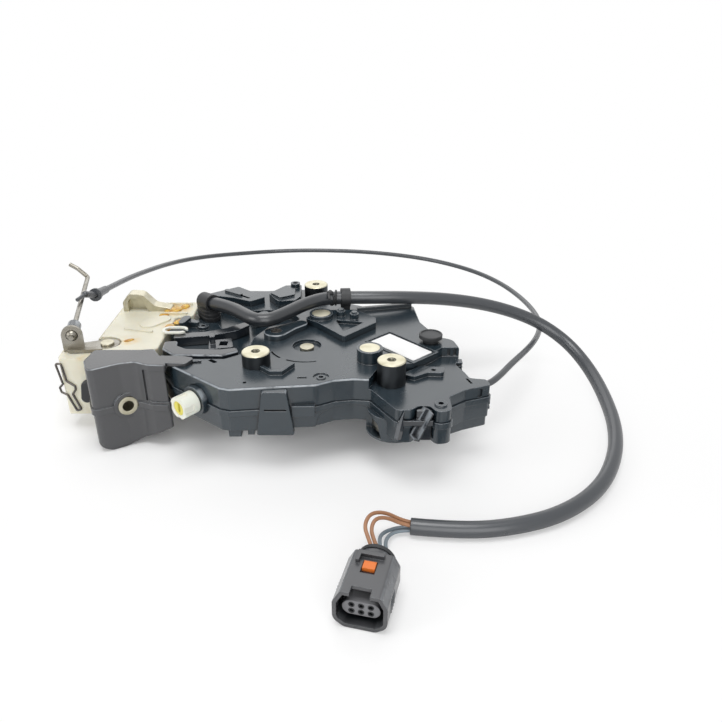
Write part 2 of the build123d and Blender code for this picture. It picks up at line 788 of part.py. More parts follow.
latch_outline = [
    (-127.99, 4.2, 0),
    (-127.99, 75.0, 3),
    (-118.0, 76.4, 3),
    (-108.0, 68.0, 3),
    (-78.0, 72.4, 3),
    (-77.6, 49.0, 2),
    (-88.6, 45.0, 3),
    (-88.8, 0.0, 3),
    (-96.0, -9.0, 3),
    (-146.0, -9.0, 2),
    (-147.0, 4.2, 2),
]
pocket_y = (fork_at[0] - fork_r - fork_side_room, pawl_at[0] + 11.0)
slot_y = 15.2
pin_seat = 8.0
release_hub_r = 7.0
release_pin_r = 2.0
release_pin_foot_z = 41.0


def striker_plate():
    """Steel plate over the pocket, with the striker's mouth and a slot for the lever."""
    plate_near_y = pocket_y[0] + 0.2
    middle = ((plate_near_y + plate_far_y) / 2, (latch_bottom_z + plate_top_z) / 2)
    face = Pos(*middle) * RectangleRounded(plate_far_y - plate_near_y, plate_top_z - latch_bottom_z, 4.0)
    face -= mouth_face(mouth_w)
    face -= Pos(slot_y - 9.0, plate_top_z) * Rectangle(20.0, 2 * (plate_top_z - release_z + 1.0))
    for y, z, r in ((*fork_at, fork_pin_r), (*pawl_at, pawl_pin_r)):
        face -= Pos(y, z) * Circle(r + fit)
    return side_prism(face, plate_x - plate_t, plate_x)


def latch_pins():
    pins = Part()
    for y, z, r in ((*fork_at, fork_pin_r), (*pawl_at, pawl_pin_r)):
        pins += side_prism(Pos(y, z) * Circle(r), plate_x - plate_t, plate_x + pocket_d + pin_seat)
        pins += side_prism(Pos(y, z) * Circle(r + 1.8), plate_x - plate_t - 1.4, plate_x - plate_t)
    return pins


fork_x = plate_x + 1.5
spring_r = 0.8
spring_x = fork_x + fork_t + gap
tooth_end = 85.0
prong_start = 292.0
pawl_drop = 8.0  # degrees from the pawl's rest to its seat in the closed fork


def fork_face():
    """The fork in its closed place, about its own pin, drawn in Y and Z."""
    low_r = fork_r - notch_d - 0.5
    rim = Circle(fork_r + 2) - Circle(low_r)
    face = Circle(fork_r) - (rim & wedge_face(40, *notch_angles))
    face -= rim & wedge_face(60, tooth_end, prong_start)
    face -= Pos(striker_reach, 0) * Circle(throat_w / 2)
    half = throat_w / 2
    far, wide = fork_r + 8.5, half + 3.5
    corners = ((striker_reach, -half), (striker_reach, half), (far, wide), (far, -wide))
    face -= make_face(Polyline(*corners, close=True))
    return face - Circle(fork_pin_r + fit)


def fork():
    face = Rot(0, 0, -fork_close) * fork_face()
    return side_prism(Pos(*fork_at) * face, fork_x, fork_x + fork_t)


def pawl_face():
    """The pawl at rest, its nose just clear of the fork's rim, drawn in Y and Z."""
    foot_r = fork_r - notch_d
    nose = []
    for r, a in ((foot_r, -5.6), (foot_r, 5.6), (fork_r + 3.2, 7.0), (fork_r + 4.4, -7.0)):
        nose.append((*polar(fork_at, r, notch_middle + a), 0.3))
    y, z = pawl_at
    arm_end = polar(fork_at, fork_r + arm_stand_off, notch_middle)
    arm = make_hull((Pos(y, z + 1.6) * Circle(3.6) + Pos(*arm_end) * Circle(1.6)).edges())
    tail = make_hull((Pos(y, z) * Circle(5.4) + Pos(y + 6.4, z - 6.0) * Circle(2.6)).edges())
    face = outline_face(nose) + arm + tail + Pos(y, z) * Circle(5.8)
    face = turned_about(pawl_at, -pawl_drop, face)
    return face - Pos(y, z) * Circle(pawl_pin_r + fit)


def pawl():
    return side_prism(pawl_face(), fork_x, fork_x + fork_t)


def coil_r(pin_r):
    return pin_r + spring_r + gap


def spring_on(y, z, pin_r, leg):
    """Torsion spring of three turns round a pin, its leg running off along Y."""
    spring = Part()
    for k in range(3):
        x = spring_x + spring_r + k * spring_r * 1.8
        ring = Torus(coil_r(pin_r), spring_r)
        spring += Plane(origin=(x, y, z), x_dir=(0, 1, 0), z_dir=(1, 0, 0)) * ring
    x = spring_x + spring_r
    side = coil_r(pin_r) if leg > 0 else -coil_r(pin_r)
    return spring + bar_between((x, y, z + side), (x, y + leg, z + side), spring_r)


def latch_springs():
    """Torsion springs of the fork and the pawl."""
    return spring_on(*fork_at, fork_pin_r, -11.0) + spring_on(*pawl_at, pawl_pin_r, 9.0)


def latch_ear():
    """Hollow ear on the latch, domed, with its foot running off to the right."""
    foot_z = latch_top_z - 1
    dome = [
        (-125.4, latch_top_z, 0), (-125.4, 57.0, 3), (-121.0, 62.8, 4), (-112.0, 62.4, 5),
        (-104.6, 54.6, 4), (-94.0, 52.4, 1), (-94.0, latch_top_z, 0),
    ]
    hollow = [(-122.0, foot_z, 0), (-122.0, 59.4, 3), (-113.0, 59.4, 3), (-108.6, foot_z, 0)]
    return front_prism(dome, 55.0, 63.0) - front_prism(hollow, 54.0, 59.6)


def tube(points, r, radii=None, closed=False):
    if radii is None:
        radii = bend_radii(points)
    path = FilletPolyline(*points, radius=radii, close=closed)
    start = path.edges()[0] if closed else path
    section = Plane(origin=start @ 0, z_dir=start % 0) * Circle(r)
    return sweep(section, path=path)


def wire_clip():
    y = -9.0 - clip_wire_r
    path = [
        (-147.6, 44.5), (-144.4, 44.5), (-143.2, 33.0), (-138.6, 29.5), (-138.8, 27.0), (-141.0, 24.0),
        (-137.6, 13.5), (-140.4, 12.5), (-144.2, 23.5), (-147.4, 25.5), (-148.0, 28.5), (-145.6, 31.0),
    ]
    points = [(x, y, z) for x, z in path]
    return tube(points, clip_wire_r, [1.0] * len(points), True)


clip_wire_r = 0.65


def bumper():
    ends = Pos(-132.2, 22.6) * Circle(3.2) + Pos(-131.0, 30.4) * Circle(3.2)
    front = Plane(origin=(0, -9.0, 0), x_dir=(1, 0, 0), z_dir=(0, -1, 0))
    pad = front * extrude(make_hull(ends.edges()), 3.6)
    return fillet(pad.edges().group_by(Axis.Y)[0], 1.0)


def oval_clip():
    """Open oval spring clip on the head of the lever plate's stem."""
    (x0, y0), (x1, y1) = clip_at
    clip = hull_slab([(x0, y0, clip_r), (x1, y1, clip_r)], stem_top_z, stem_top_z + 1.2)
    clip -= hull_slab([(x0, y0, clip_r - 1.9), (x1, y1, clip_r - 1.9)], stem_top_z - 1, stem_top_z + 2)
    return clip - at(x1 + clip_r, y1 - 1.6, stem_top_z, Rot(0, 0, -20) * Box(6.0, 3.0, 4.0))


clip_at = ((-86.0, 19.6), (-79.8, 19.6))
clip_r = 4.8
stem_top_z = 52.35


# Release lever and rod
rod_dir = Vector(-sin(radians(rod_turn)), cos(radians(rod_turn)), 0)
eye_at = (release_at[0] - release_arm * rod_dir.Y, release_at[1] + release_arm * rod_dir.X)
eye_centre = Vector(eye_at[0], eye_at[1], eye_z)
eye_plane = facing(eye_at[0], eye_at[1], eye_z, 90 + rod_turn)
tab_r = 6.0


def release_lever():
    """Bell crank with the eye tab folded up at its end."""
    arm = hull_slab([(*release_at, release_hub_r), (*eye_at, 4.6)], release_z, release_z + release_t)
    arm -= block(-160, eye_at[0] - 3.0, -20, 30, release_z - 1, release_z + release_t + 1)
    face = Circle(tab_r) + Pos(0, -(eye_z - release_z) / 2) * Rectangle(2 * tab_r, eye_z - release_z)
    tab = eye_plane * Pos(0, 0, -release_t / 2) * extrude(face - Circle(eye_r), release_t)
    arm += tab
    return arm - post(*release_at, release_z - 1, release_z + release_t + 1, release_pin_r + fit)


def release_pin():
    top = release_z + release_t + fit
    return post(*release_at, release_pin_foot_z, top, release_pin_r) + post(*release_at, top, top + 1.2, 4.0)


def lock_rod():
    """Round rod through the eye, with a Z bend at its far end."""
    far = eye_centre + rod_dir * rod_length
    start = eye_centre - rod_dir * 5.0
    points = [start, far, far + Vector(-6.7, 1.1, 6.0), far + Vector(-12.2, 2.6, 8.5)]
    return tube(points, rod_r, [2.5, 2.5])


def rod_ball():
    start, end = eye_centre - rod_dir * 8.0, eye_centre + rod_dir * 8.0
    return Pos(*eye_centre) * Sphere(ball_r) - bar_between(start, end, rod_r + fit)


def rod_clip():
    start, end = eye_centre + rod_dir * 6.0, eye_centre + rod_dir * 14.0
    clip = bar_between(start, end, 4.0) - bar_between(start - rod_dir, end + rod_dir, rod_r + fit)
    return clip - block(-160, -120, -10, 30, eye_z - 6, eye_z - 0.8)


# Latch cover
cover_outline = [
    (-124.6, -24.0, 5),
    (-119.0, -37.0, 4),
    (-103.6, -27.6, 6),
    (-95.6, -25.4, 6),
    (-87.0, -29.4, 4),
    (-76.4, -30.0, 1.5),
    (-78.2, -25.0, 2),
    (-88.6, -8.4, 2),
    (-96.0, -9.6, 1),
    (-123.0, -9.6, 3),
]
cover_profile = [
    (-130.0, cover_top_z, 4),
    (-130.0, 24.0, 6),
    (-120.0, 4.0, 8),
    (-113.0, 0.0, 5),
    (-105.0, 0.0, 8),
    (-95.0, 4.6, 10),
    (-76.0, 14.0, 10),
    (-60.0, 24.0, 0),
    (-60.0, cover_top_z, 0),
]
cover_flange = [
    (-92.0, -12.0, 2),
    (-84.0, -26.4, 2),
    (-66.0, -28.0, 2),
    (-62.6, -20.6, 2),
    (-70.0, -18.0, 2),
    (-84.0, -17.8, 2),
    (-87.6, -12.0, 2),
]
cover_bush_plane = facing(*cover_bush_at, cover_bush_turn)


def latch_cover():
    """Moulded cover over the front of the latch, with its seam band and bush collar."""
    form = slab(cover_outline, 0, cover_top_z)
    form = fillet(top_edges(form), 0.9)
    band = slab(moved_out(cover_outline, 0.9), 24.6, 28.6) & block(-128, -78, -45, -12, 24, 29)
    panel = block(-91.0, -70.0, -40.0, -15.0, 30.0, cover_top_z - 4.0)
    form -= panel - slab(moved_out(cover_outline, -0.8), 0, cover_top_z)
    form = (form + band) & front_prism(cover_profile, -60, -5)
    form += slab(cover_flange, deck_z, cover_top_z)
    inside = Align.CENTER, Align.CENTER, Align.MAX
    form += cover_bush_plane * Pos(0, 0, -0.7) * Cylinder(cover_bush_r + 2.4, 8.0, align=inside)
    seat = cover_bush_plane * Pos(0, 0, -cover_bush_l)
    return form - seat * Cylinder(cover_bush_r + fit, 20.0, align=from_foot)


def cover_bush():
    seat = cover_bush_plane * Pos(0, 0, -cover_bush_l)
    bush = seat * Cylinder(cover_bush_r, cover_bush_l, align=from_foot)
    return bush - seat * Pos(0, 0, -1) * Cylinder(cover_thread_r, 20.0, align=from_foot)


# Key coupler
coupler_plane = facing(*coupler_at, coupler_turn)
coupler_collar_t = 4.0


def coupler_collar():
    collar = coupler_plane * Cylinder(coupler_collar_r, coupler_collar_t, align=from_foot)
    return collar - coupler_plane * Pos(0, 0, -1) * Cylinder(coupler_r - 1.0 + fit, 9.0, align=from_foot)


def key_coupler():
    """Nylon bush that turns in the collar, with four flats round its mouth."""
    foot = coupler_plane * Pos(0, 0, 0.3) * Cylinder(coupler_r - 1.0, coupler_collar_t + 0.4, align=from_foot)
    start = coupler_collar_t + gap
    body = coupler_plane * Pos(0, 0, start) * Cylinder(coupler_r, coupler_l, align=from_foot)
    for turn in range(0, 360, 90):
        notch = Rot(0, 0, turn) * Pos(coupler_r, 0, start + coupler_l - 3.0) * Box(1.6, 3.4, 6.2)
        body -= coupler_plane * notch
    bore = Pos(0, 0, start + 2.0) * Cylinder(coupler_core_r, 20.0, align=from_foot)
    return foot + body - coupler_plane * bore


coupler_l = 10.0


def coupler_core():
    start = coupler_collar_t + gap + 2.0
    core = coupler_plane * Pos(0, 0, start) * Cylinder(coupler_core_r - fit, coupler_l - 2.6, align=from_foot)
    return core - coupler_plane * Pos(0, 0, start + 2.0) * Box(1.8, 5.4, 20.0, align=from_foot)


# Plug holder at the right lobe
def beam(start, end, width, height):
    a, b = Vector(*start), Vector(*end)
    return Plane(origin=a, x_dir=(0, 0, 1), z_dir=b - a) * Box(height, width, (b - a).length, align=from_foot)


def plug_holder():
    holder = block(61.2, 69.8, -64.0, -62.0, 27.0, 45.0)
    holder += beam((67.0, -63.6, 45.6), (59.6, -66.4, 30.4), 8.4, 3.4)
    holder -= beam((67.6, -66.4, 46.8), (60.2, -69.2, 31.6), 5.6, 3.4)
    holder += beam((54.6, -63.8, 45.4), (51.4, -67.0, 29.6), 2.6, 3.0)
    holder += block(51.4, 69.8, -66.0, -63.0, 37.0, 40.0)
    return holder - prism(grown(module_outline, rim_out + fit), base_z - 5, deck_z)


# Inner electrical pieces in the two lower pockets
def lock_motor():
    can = bar_between((14.0, 28.0, 14.0), (40.0, 28.0, 14.0), 10.0)
    can += bar_between((40.0, 28.0, 14.0), (48.0, 28.0, 14.0), 1.2)
    return can + block(16.0, 38.0, 22.0, 34.0, skin, 6.0)


def microswitches():
    pair = Part()
    for x in (-60.0, -42.0):
        pair += block(x, x + 12.8, 46.0, 52.6, skin, 9.0)
        pair += block(x + 8.0, x + 9.6, 48.0, 50.6, 9.0, 10.4)
    return pair


# Cords
sleeve_route = [
    (-66.0, 50.5, 58.6),
    (-58.0, 41.5, 60.0),
    (-48.0, 31.6, 60.6),
    (-38.8, 19.6, 60.4),
    (-33.2, 13.2, 60.2),
    (-27.6, 10.8, 60.0),
    (-21.8, 12.4, 60.2),
    (-14.0, 23.0, 61.0),
    (-3.6, 40.0, 62.0),
    (8.0, 49.6, 62.0),
    (22.0, 52.6, 61.4),
    (40.0, 53.6, 61.0),
    (62.0, 57.5, 59.6),
    (88.0, 66.5, 55.0),
    (115.0, 76.4, 47.6),
    (140.0, 83.0, 38.5),
    (162.0, 83.4, 28.6),
    (180.0, 74.0, 17.6),
    (189.6, 52.0, 9.0),
    (191.0, 20.0, 5.0),
    (186.6, -16.0, 4.3),
    (176.0, -48.0, 4.4),
    (158.6, -77.0, 4.3),
    (133.0, -98.0, 4.4),
    (104.0, -107.6, 4.3),
    (79.0, -109.4, 4.4),
    (57.0, -106.4, 4.4),
]
cable_route = [
    (98.5, -14.54, 31.0),
    (107.7, -10.65, 31.0),
    (116.6, 0.6, 30.8),
    (128.0, 21.0, 29.0),
    (142.0, 46.0, 25.0),
    (155.0, 73.0, 20.0),
    (166.0, 103.0, 14.4),
    (173.4, 135.0, 9.0),
    (175.5, 168.0, 4.8),
    (172.0, 202.0, 2.4),
    (162.0, 234.0, 2.1),
    (146.0, 262.0, 2.2),
    (124.0, 286.0, 2.1),
    (97.0, 305.0, 2.2),
    (66.0, 319.0, 2.1),
    (33.0, 327.6, 2.2),
    (0.0, 331.6, 2.1),
    (-33.0, 331.8, 2.2),
    (-64.0, 326.0, 2.8),
    (-92.0, 311.5, 5.4),
    (-116.0, 289.0, 10.4),
    (-133.0, 260.0, 16.6),
    (-143.5, 227.0, 23.2),
    (-148.8, 193.0, 30.0),
    (-151.0, 161.0, 36.8),
    (-151.4, 135.0, 42.2),
    (-150.6, 112.0, 47.2),
    (-149.4, 92.0, 51.7),
]


def sleeve_mouth(aside, z, out):
    """Point off the sleeve's last end: aside from its middle line, and out along it."""
    end, before = Vector(*sleeve_route[-1]), Vector(*sleeve_route[-2])
    run = Vector(end.X - before.X, end.Y - before.Y, 0).normalized()
    return (end.X + run.X * out + run.Y * aside, end.Y + run.Y * out - run.X * aside, z)


def plug_back(aside, z, out):
    """Point off the connector's rear seal: aside from its middle line, and out behind it."""
    back = Vector(-sin(radians(plug_turn)), cos(radians(plug_turn)), 0)
    reach = plug_l + seal_l + out
    return (
        plug_face[0] + back.X * reach + back.Y * aside,
        plug_face[1] + back.Y * reach - back.X * aside,
        z,
    )


seal_l = 6.0
wire_middles = {
    "brown_wire_a": [
        (44.0, -105.6, 12.6), (36.6, -111.0, 16.4), (33.6, -119.5, 16.0), (35.6, -125.6, 13.4),
    ],
    "brown_wire_b": [
        (44.4, -108.9, 12.2), (38.8, -113.4, 15.0), (36.8, -120.0, 14.2), (38.2, -126.0, 12.8),
    ],
    "grey_wire_a": [(44.6, -107.6, 2.6), (41.2, -113.6, 4.4), (41.0, -121.6, 6.4)],
    "grey_wire_b": [(47.0, -109.4, 2.5), (44.2, -115.6, 4.2), (43.6, -123.4, 6.6)],
}
wire_ends = {
    "brown_wire_a": (1.3, 5.85, 6.6, -3.6, 12.0),
    "brown_wire_b": (-1.3, 5.85, 6.6, -1.0, 12.4),
    "grey_wire_a": (1.3, 2.95, 2.4, 1.4, 8.0),
    "grey_wire_b": (-1.3, 2.95, 2.4, 4.0, 8.4),
}


def wire_route(name):
    aside, z, next_z, seat, seat_z = wire_ends[name]
    start = [sleeve_mouth(aside, z, 0.1), sleeve_mouth(aside, next_z, 5.0)]
    return start + wire_middles[name] + [plug_back(seat, seat_z, 4.6), plug_back(seat, seat_z, 0)]


def bend_radii(points):
    """Each corner's radius: 0.45 of its shorter run over the tangent of half its turn."""
    radii = []
    for before, here, after in zip(points, points[1:], points[2:]):
        into, away = Vector(*here) - Vector(*before), Vector(*after) - Vector(*here)
        half = radians(into.get_angle(away)) / 2
        radii.append(0.45 * min(into.length, away.length) / tan(half))
    return radii


def cord(name, points, diameter):
    radii = bend_radii(points)
    solid = tube(points, diameter / 2, radii)
    length = solid.volume / (pi * diameter**2 / 4)
    print(name, "radii", [round(r) for r in radii], "length", round(length, 1))
    return solid


boot_feet = [(-71.4, 58.6), (-66.8, 52.4)]
boot_rib_r = 5.8
boot_r = boot_rib_r - 0.6


def harness_boot():
    """Rubber elbow that the sleeve comes out of, with its ribbed cuff."""
    start, toward = Vector(*sleeve_route[0]), Vector(*sleeve_route[1])
    along = (toward - start).normalized()
    elbow = hull_slab([(x, y, boot_r) for x, y in boot_feet], step_z, 57.0)
    elbow += bar_between(start - along * 9.0, start + along * 3.0, sleeve_d / 2 + 1.4)
    for k in range(3):
        foot = step_z + 1.4 + 2.6 * k
        elbow += hull_slab([(x, y, boot_rib_r) for x, y in boot_feet], foot, foot + 1.3)
    return elbow - bar_between(start, start + along * 12.0, sleeve_d / 2 + fit)


def harness_clamp():
    """Band round the sleeve, with its foot on the deck."""
    middle = Vector(*sleeve_route[10])
    along = (Vector(*sleeve_route[11]) - Vector(*sleeve_route[9])).normalized()
    start, end = middle - along * 3.0, middle + along * 3.0
    band = bar_between(start, end, sleeve_d / 2 + 1.9)
    band += block(middle.X - 3.0, middle.X + 3.0, middle.Y - 4.0, middle.Y + 2.0, deck_z, middle.Z)
    return band - bar_between(start - along * 5, end + along * 5, sleeve_d / 2 + 0.4)


# Connector, drawn with its mating face at Y = 0 and its back towards +Y
plug_place = Pos(plug_face[0], plug_face[1], 0) * Rot(0, 0, plug_turn)
plug_outline = [
    (-11.9, 13.0, 3),
    (-8.4, 19.4, 2),
    (9.0, 19.4, 2),
    (11.9, 14.0, 3),
    (11.9, 3.4, 5),
    (7.0, 0.0, 4),
    (-7.0, 0.0, 4),
    (-11.9, 3.4, 5),
]
plug_top_z = 19.4
insert_z = 8.6
insert_y = 3.0
lock_size = (5.6, 4.6, 1.6)
lock_y = 17.4
lock_travel = 2.0
collar_l = 4.0


def connector_shell():
    shell = front_prism(plug_outline, 0, plug_l)
    shell -= front_prism(moved_out(plug_outline, -1.8), -1, 11.0)
    shell -= block(-4.4, 4.4, -1.0, 4.4, plug_top_z - 4.0, plug_top_z + 1)
    shell += bar_between((0, plug_l, 10.0), (0, plug_l + collar_l, 10.0), 8.4)
    shell += block(-6.4, 5.4, 22.0, 24.4, plug_top_z - 0.4, plug_top_z + 2.0)
    shell += block(-6.4, -4.8, 18.0, 24.4, plug_top_z - 0.4, plug_top_z + 2.0)
    width, depth, thick = lock_size
    side, back = width / 2 + gap, lock_y + depth / 2 + gap
    front = lock_y - depth / 2 - lock_travel - gap
    shell -= block(-side, side, front, back, plug_top_z - thick, plug_top_z + 1)
    return plug_place * shell


def connector_insert():
    face = make_hull((Pos(-4.6, insert_z) * Circle(3.7) + Pos(4.6, insert_z) * Circle(3.7)).edges())
    holes = Sketch() + [Pos(x, insert_z + z) * Circle(0.9) for x in (-4.2, 0, 4.2) for z in (-1.7, 1.7)]
    front = Plane(origin=(0, insert_y, 0), x_dir=(1, 0, 0), z_dir=(0, -1, 0))
    body = front * extrude(face, -(11.0 - insert_y))
    return plug_place * (body - front * extrude(holes, -5.0))


def connector_lock():
    width, depth, thick = lock_size
    front, back = lock_y - depth / 2, lock_y + depth / 2
    return plug_place * block(-width / 2, width / 2, front, back, plug_top_z - thick + fit, plug_top_z + 0.5)


def connector_seal():
    return plug_place * bar_between((0, plug_l + collar_l, 10.0), (0, plug_l + seal_l, 10.0), 8.9)


# Pull cable
gland_plane = facing(89.27, -18.44, 31.0, 22.9)
gland_l = 10.0


def cable_gland():
    gland = gland_plane * Cylinder(4.2, 2.0, align=from_foot)
    return gland + gland_plane * Pos(0, 0, 2.0) * Cone(3.4, 2.6, gland_l - 2.0, align=from_foot)


def cable_ferrule():
    """Sleeve, flange and tapered tip on the cable's free end, lying over the rod."""
    start, before = Vector(*cable_route[-1]), Vector(*cable_route[-2])
    along = (start - before).normalized()
    ferrule = Plane(origin=start, z_dir=along) * Cone(cable_d / 2 + 0.7, 3.2, 22.6, align=from_foot)
    neck = start + along * 22.6
    after = neck + along * 2.4
    ferrule += bar_between(neck, after, 4.4)
    shoulder, tip = Vector(-150.0, 57.0, 61.9), Vector(-151.8, 47.0, 61.9)
    ferrule += bar_between(after - along * 0.5, shoulder, 2.2)
    return ferrule + bar_between(shoulder, tip, 1.2) + Pos(*shoulder) * Sphere(2.2)


def nodes():
    made = {
        "upper_housing": upper_housing(),
        "lower_housing": lower_housing(),
        "threaded_bosses": threaded_boss(boss_left) + threaded_boss(boss_right) + threaded_boss(boss_rear),
        "main_axle": axle(main_at, deck_z - 0.6, 4.2, axle_foot_z),
        "reduction_axle": axle(idler_at, collar_top_z, cap_r, axle_foot_z),
        "lever_axle": axle(lever_at, collar_top_z - 1.0, cap_r, high_gear_z - 0.3),
    }
    for build in (
        main_gear, reduction_gear, motor_pinion, closing_lever, closing_motor,
        platform, guide_cover, cover_screw, label, rubber_cap,
        front_lever, middle_lever, lever_plate, lever_bracket, small_lever, switch_module, rear_module,
        latch_body, striker_plate, latch_pins, fork, pawl, latch_springs, latch_ear,
        wire_clip, bumper, oval_clip,
        release_lever, release_pin, lock_rod, rod_ball, rod_clip,
        latch_cover, cover_bush, coupler_collar, key_coupler, coupler_core, plug_holder,
        lock_motor, microswitches,
        harness_boot, harness_clamp,
        connector_shell, connector_insert, connector_lock, connector_seal,
        cable_gland, cable_ferrule,
    ):
        made[build.__name__] = build()
    made["harness_sleeve"] = cord("harness_sleeve", sleeve_route, sleeve_d)
    made["pull_cable"] = cord("pull_cable", cable_route, cable_d)
    for name in wire_middles:
        made[name] = cord(name, wire_route(name), wire_d)
    return made


for name, shape in nodes().items():
    export_step(Pos(DATUM[0], DATUM[1], 0) * shape, f"parts/{name}.step")
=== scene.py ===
# %% [markdown]
# # A vehicle door latch with its power-closing module
#
# A door latch holds the door's striker in a steel fork, behind a plate in a nylon body.
# A flat black gearbox beside it pulls the door shut and locks it. Its solids come from
# a CAD model. Here they get their finishes, and the soft and fine pieces are added: the
# cords, the grease, the thread crests, and the small pieces of the harness and its plug.

# %% Load the frame
import bpy
import json
import math
from mathutils import Euler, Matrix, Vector


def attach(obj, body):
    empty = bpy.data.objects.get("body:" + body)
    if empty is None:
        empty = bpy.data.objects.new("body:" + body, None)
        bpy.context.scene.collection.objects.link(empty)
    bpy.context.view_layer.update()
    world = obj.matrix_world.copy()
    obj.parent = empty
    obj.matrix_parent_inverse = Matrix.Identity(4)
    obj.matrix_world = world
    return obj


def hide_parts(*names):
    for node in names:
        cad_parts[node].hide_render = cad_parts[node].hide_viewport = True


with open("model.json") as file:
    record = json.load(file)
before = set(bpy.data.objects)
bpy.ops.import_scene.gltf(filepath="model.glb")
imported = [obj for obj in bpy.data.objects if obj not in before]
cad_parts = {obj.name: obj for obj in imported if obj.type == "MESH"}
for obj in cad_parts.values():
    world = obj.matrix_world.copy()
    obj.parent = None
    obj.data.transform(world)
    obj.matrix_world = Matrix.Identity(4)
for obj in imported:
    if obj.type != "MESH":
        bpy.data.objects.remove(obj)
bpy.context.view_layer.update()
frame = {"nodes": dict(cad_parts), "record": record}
nodes = frame["nodes"]

# %% [markdown]
# ## Units and places
#
# Blender works in metres, and the CAD model in millimetres. The model's own places are
# measured from the main gear's axle, so one helper turns such a place into the scene's
# metres. Another puts the place of an object into its mesh, so that the object itself
# sits at the origin.

# %% Places
MM = 0.001
AXLE = Vector((36.13, -16.84, 0.0))


def spot(x, y, z):
    """A place in the model's millimetres, in the scene's metres."""
    return (Vector((x, y, z)) + AXLE) * MM


def fix_place():
    """Puts the active object's place, turn and size into its mesh."""
    bpy.ops.object.transform_apply(location=True, rotation=True, scale=True)


print("main axle at", [round(v, 4) for v in spot(0, 0, 0)])

# %% [markdown]
# ## Camera, floor and light
#
# The photograph is taken from the front, close by, looking down by 27 degrees, so the
# camera stands near and its perspective is strong. The floor is a plain white sheet that
# melts into the background. The light is soft, and much of it comes from above and from
# behind, which gives the black plastic its pale sheen.

# %% Camera
LOOK_DOWN = 27.0  # degrees
CAMERA_AT = (32.2, -379.8, 235.0)
LENS, SENSOR = 35.3, 36.0  # millimetres
camera_data = bpy.data.cameras.new("photo_camera")
camera_data.sensor_width = SENSOR
camera_data.lens = LENS
camera_data.clip_start = 0.01
camera = bpy.data.objects.new("photo_camera", camera_data)
camera.location = spot(*CAMERA_AT)
camera.rotation_euler = Euler((math.radians(90.0 - LOOK_DOWN), 0.0, 0.0))
bpy.context.scene.collection.objects.link(camera)
bpy.context.scene.camera = camera
bpy.context.scene.view_settings.view_transform = "Standard"
print("camera at", [round(v, 3) for v in camera.location])

# %% Floor
FLOOR_SIZE = 6.0
FLOOR_MIDDLE = (0.0, 1.5, -0.0004)  # just under the cords, which lie at about zero
bpy.ops.object.select_all(action="DESELECT")
bpy.ops.mesh.primitive_plane_add(size=FLOOR_SIZE, location=FLOOR_MIDDLE)
fix_place()
floor = bpy.context.object
floor.name = "floor"
print("floor:", FLOOR_SIZE, "m wide")

# %% Lamps
def soft_lamp(name, place, aim, size, power):
    """A square area lamp that faces a point. Its size is in metres and its power in watts."""
    data = bpy.data.lights.new(name, "AREA")
    data.shape = "SQUARE"
    data.size = size
    data.energy = power
    lamp = bpy.data.objects.new(name, data)
    lamp.location = place
    way = Vector(aim) - Vector(place)
    lamp.rotation_euler = way.to_track_quat("-Z", "Y").to_euler()
    bpy.context.scene.collection.objects.link(lamp)


soft_lamp("lamp_above", (0.0, -0.2, 1.2), (0.0, 0.0, 0.0), 0.7, 7.0)
soft_lamp("lamp_behind", (-0.2, 1.3, 0.9), (0.0, 0.0, 0.03), 1.6, 6.0)
soft_lamp("lamp_left", (-1.1, -0.5, 0.6), (0.0, 0.0, 0.03), 0.6, 3.5)
soft_lamp("lamp_front", (0.25, -1.2, 0.55), (0.0, 0.0, 0.03), 1.0, 6.5)

world = bpy.data.worlds.new("studio")
bpy.context.scene.world = world
world.use_nodes = True
print("lamps:", len(bpy.data.lights))

# %% [markdown]
# ## Materials as sums
#
# A finish is a small network of nodes. It reads better as an expression, so one class
# wraps a socket, and the usual signs add Math nodes behind it. A second class holds one
# material, and makes any other node from its type, its settings and its inputs.

# %% Values that add their own nodes
class Value:
    """One socket of a node tree. Arithmetic on it adds Math nodes."""

    def __init__(self, tree, socket):
        self.tree = tree
        self.socket = socket

    def maths(self, operation, *others):
        node = self.tree.nodes.new("ShaderNodeMath")
        node.operation = operation
        for socket, value in zip(node.inputs, (self, *others)):
            plug(self.tree, socket, value)
        return Value(self.tree, node.outputs[0])

    def __add__(self, other):
        return self.maths("ADD", other)

    def __mul__(self, other):
        return self.maths("MULTIPLY", other)

    def __rsub__(self, other):
        return (self * -1.0) + other

    def between(self, low, high):
        """0 below low, 1 above high, and smooth from one to the other."""
        node = self.tree.nodes.new("ShaderNodeMapRange")
        node.interpolation_type = "SMOOTHSTEP"
        plug(self.tree, node.inputs["Value"], self)
        node.inputs["From Min"].default_value = low
        node.inputs["From Max"].default_value = high
        return Value(self.tree, node.outputs["Result"])

    __radd__ = __add__
    __rmul__ = __mul__


def plug(tree, socket, value):
    """Links a Value to a socket, or sets the socket to a plain number or colour."""
    if isinstance(value, Value):
        tree.links.new(value.socket, socket)
    else:
        socket.default_value = value


def highest(values):
    """The largest of several values."""
    first, *others = values
    for other in others:
        first = first.maths("MAXIMUM", other)
    return first


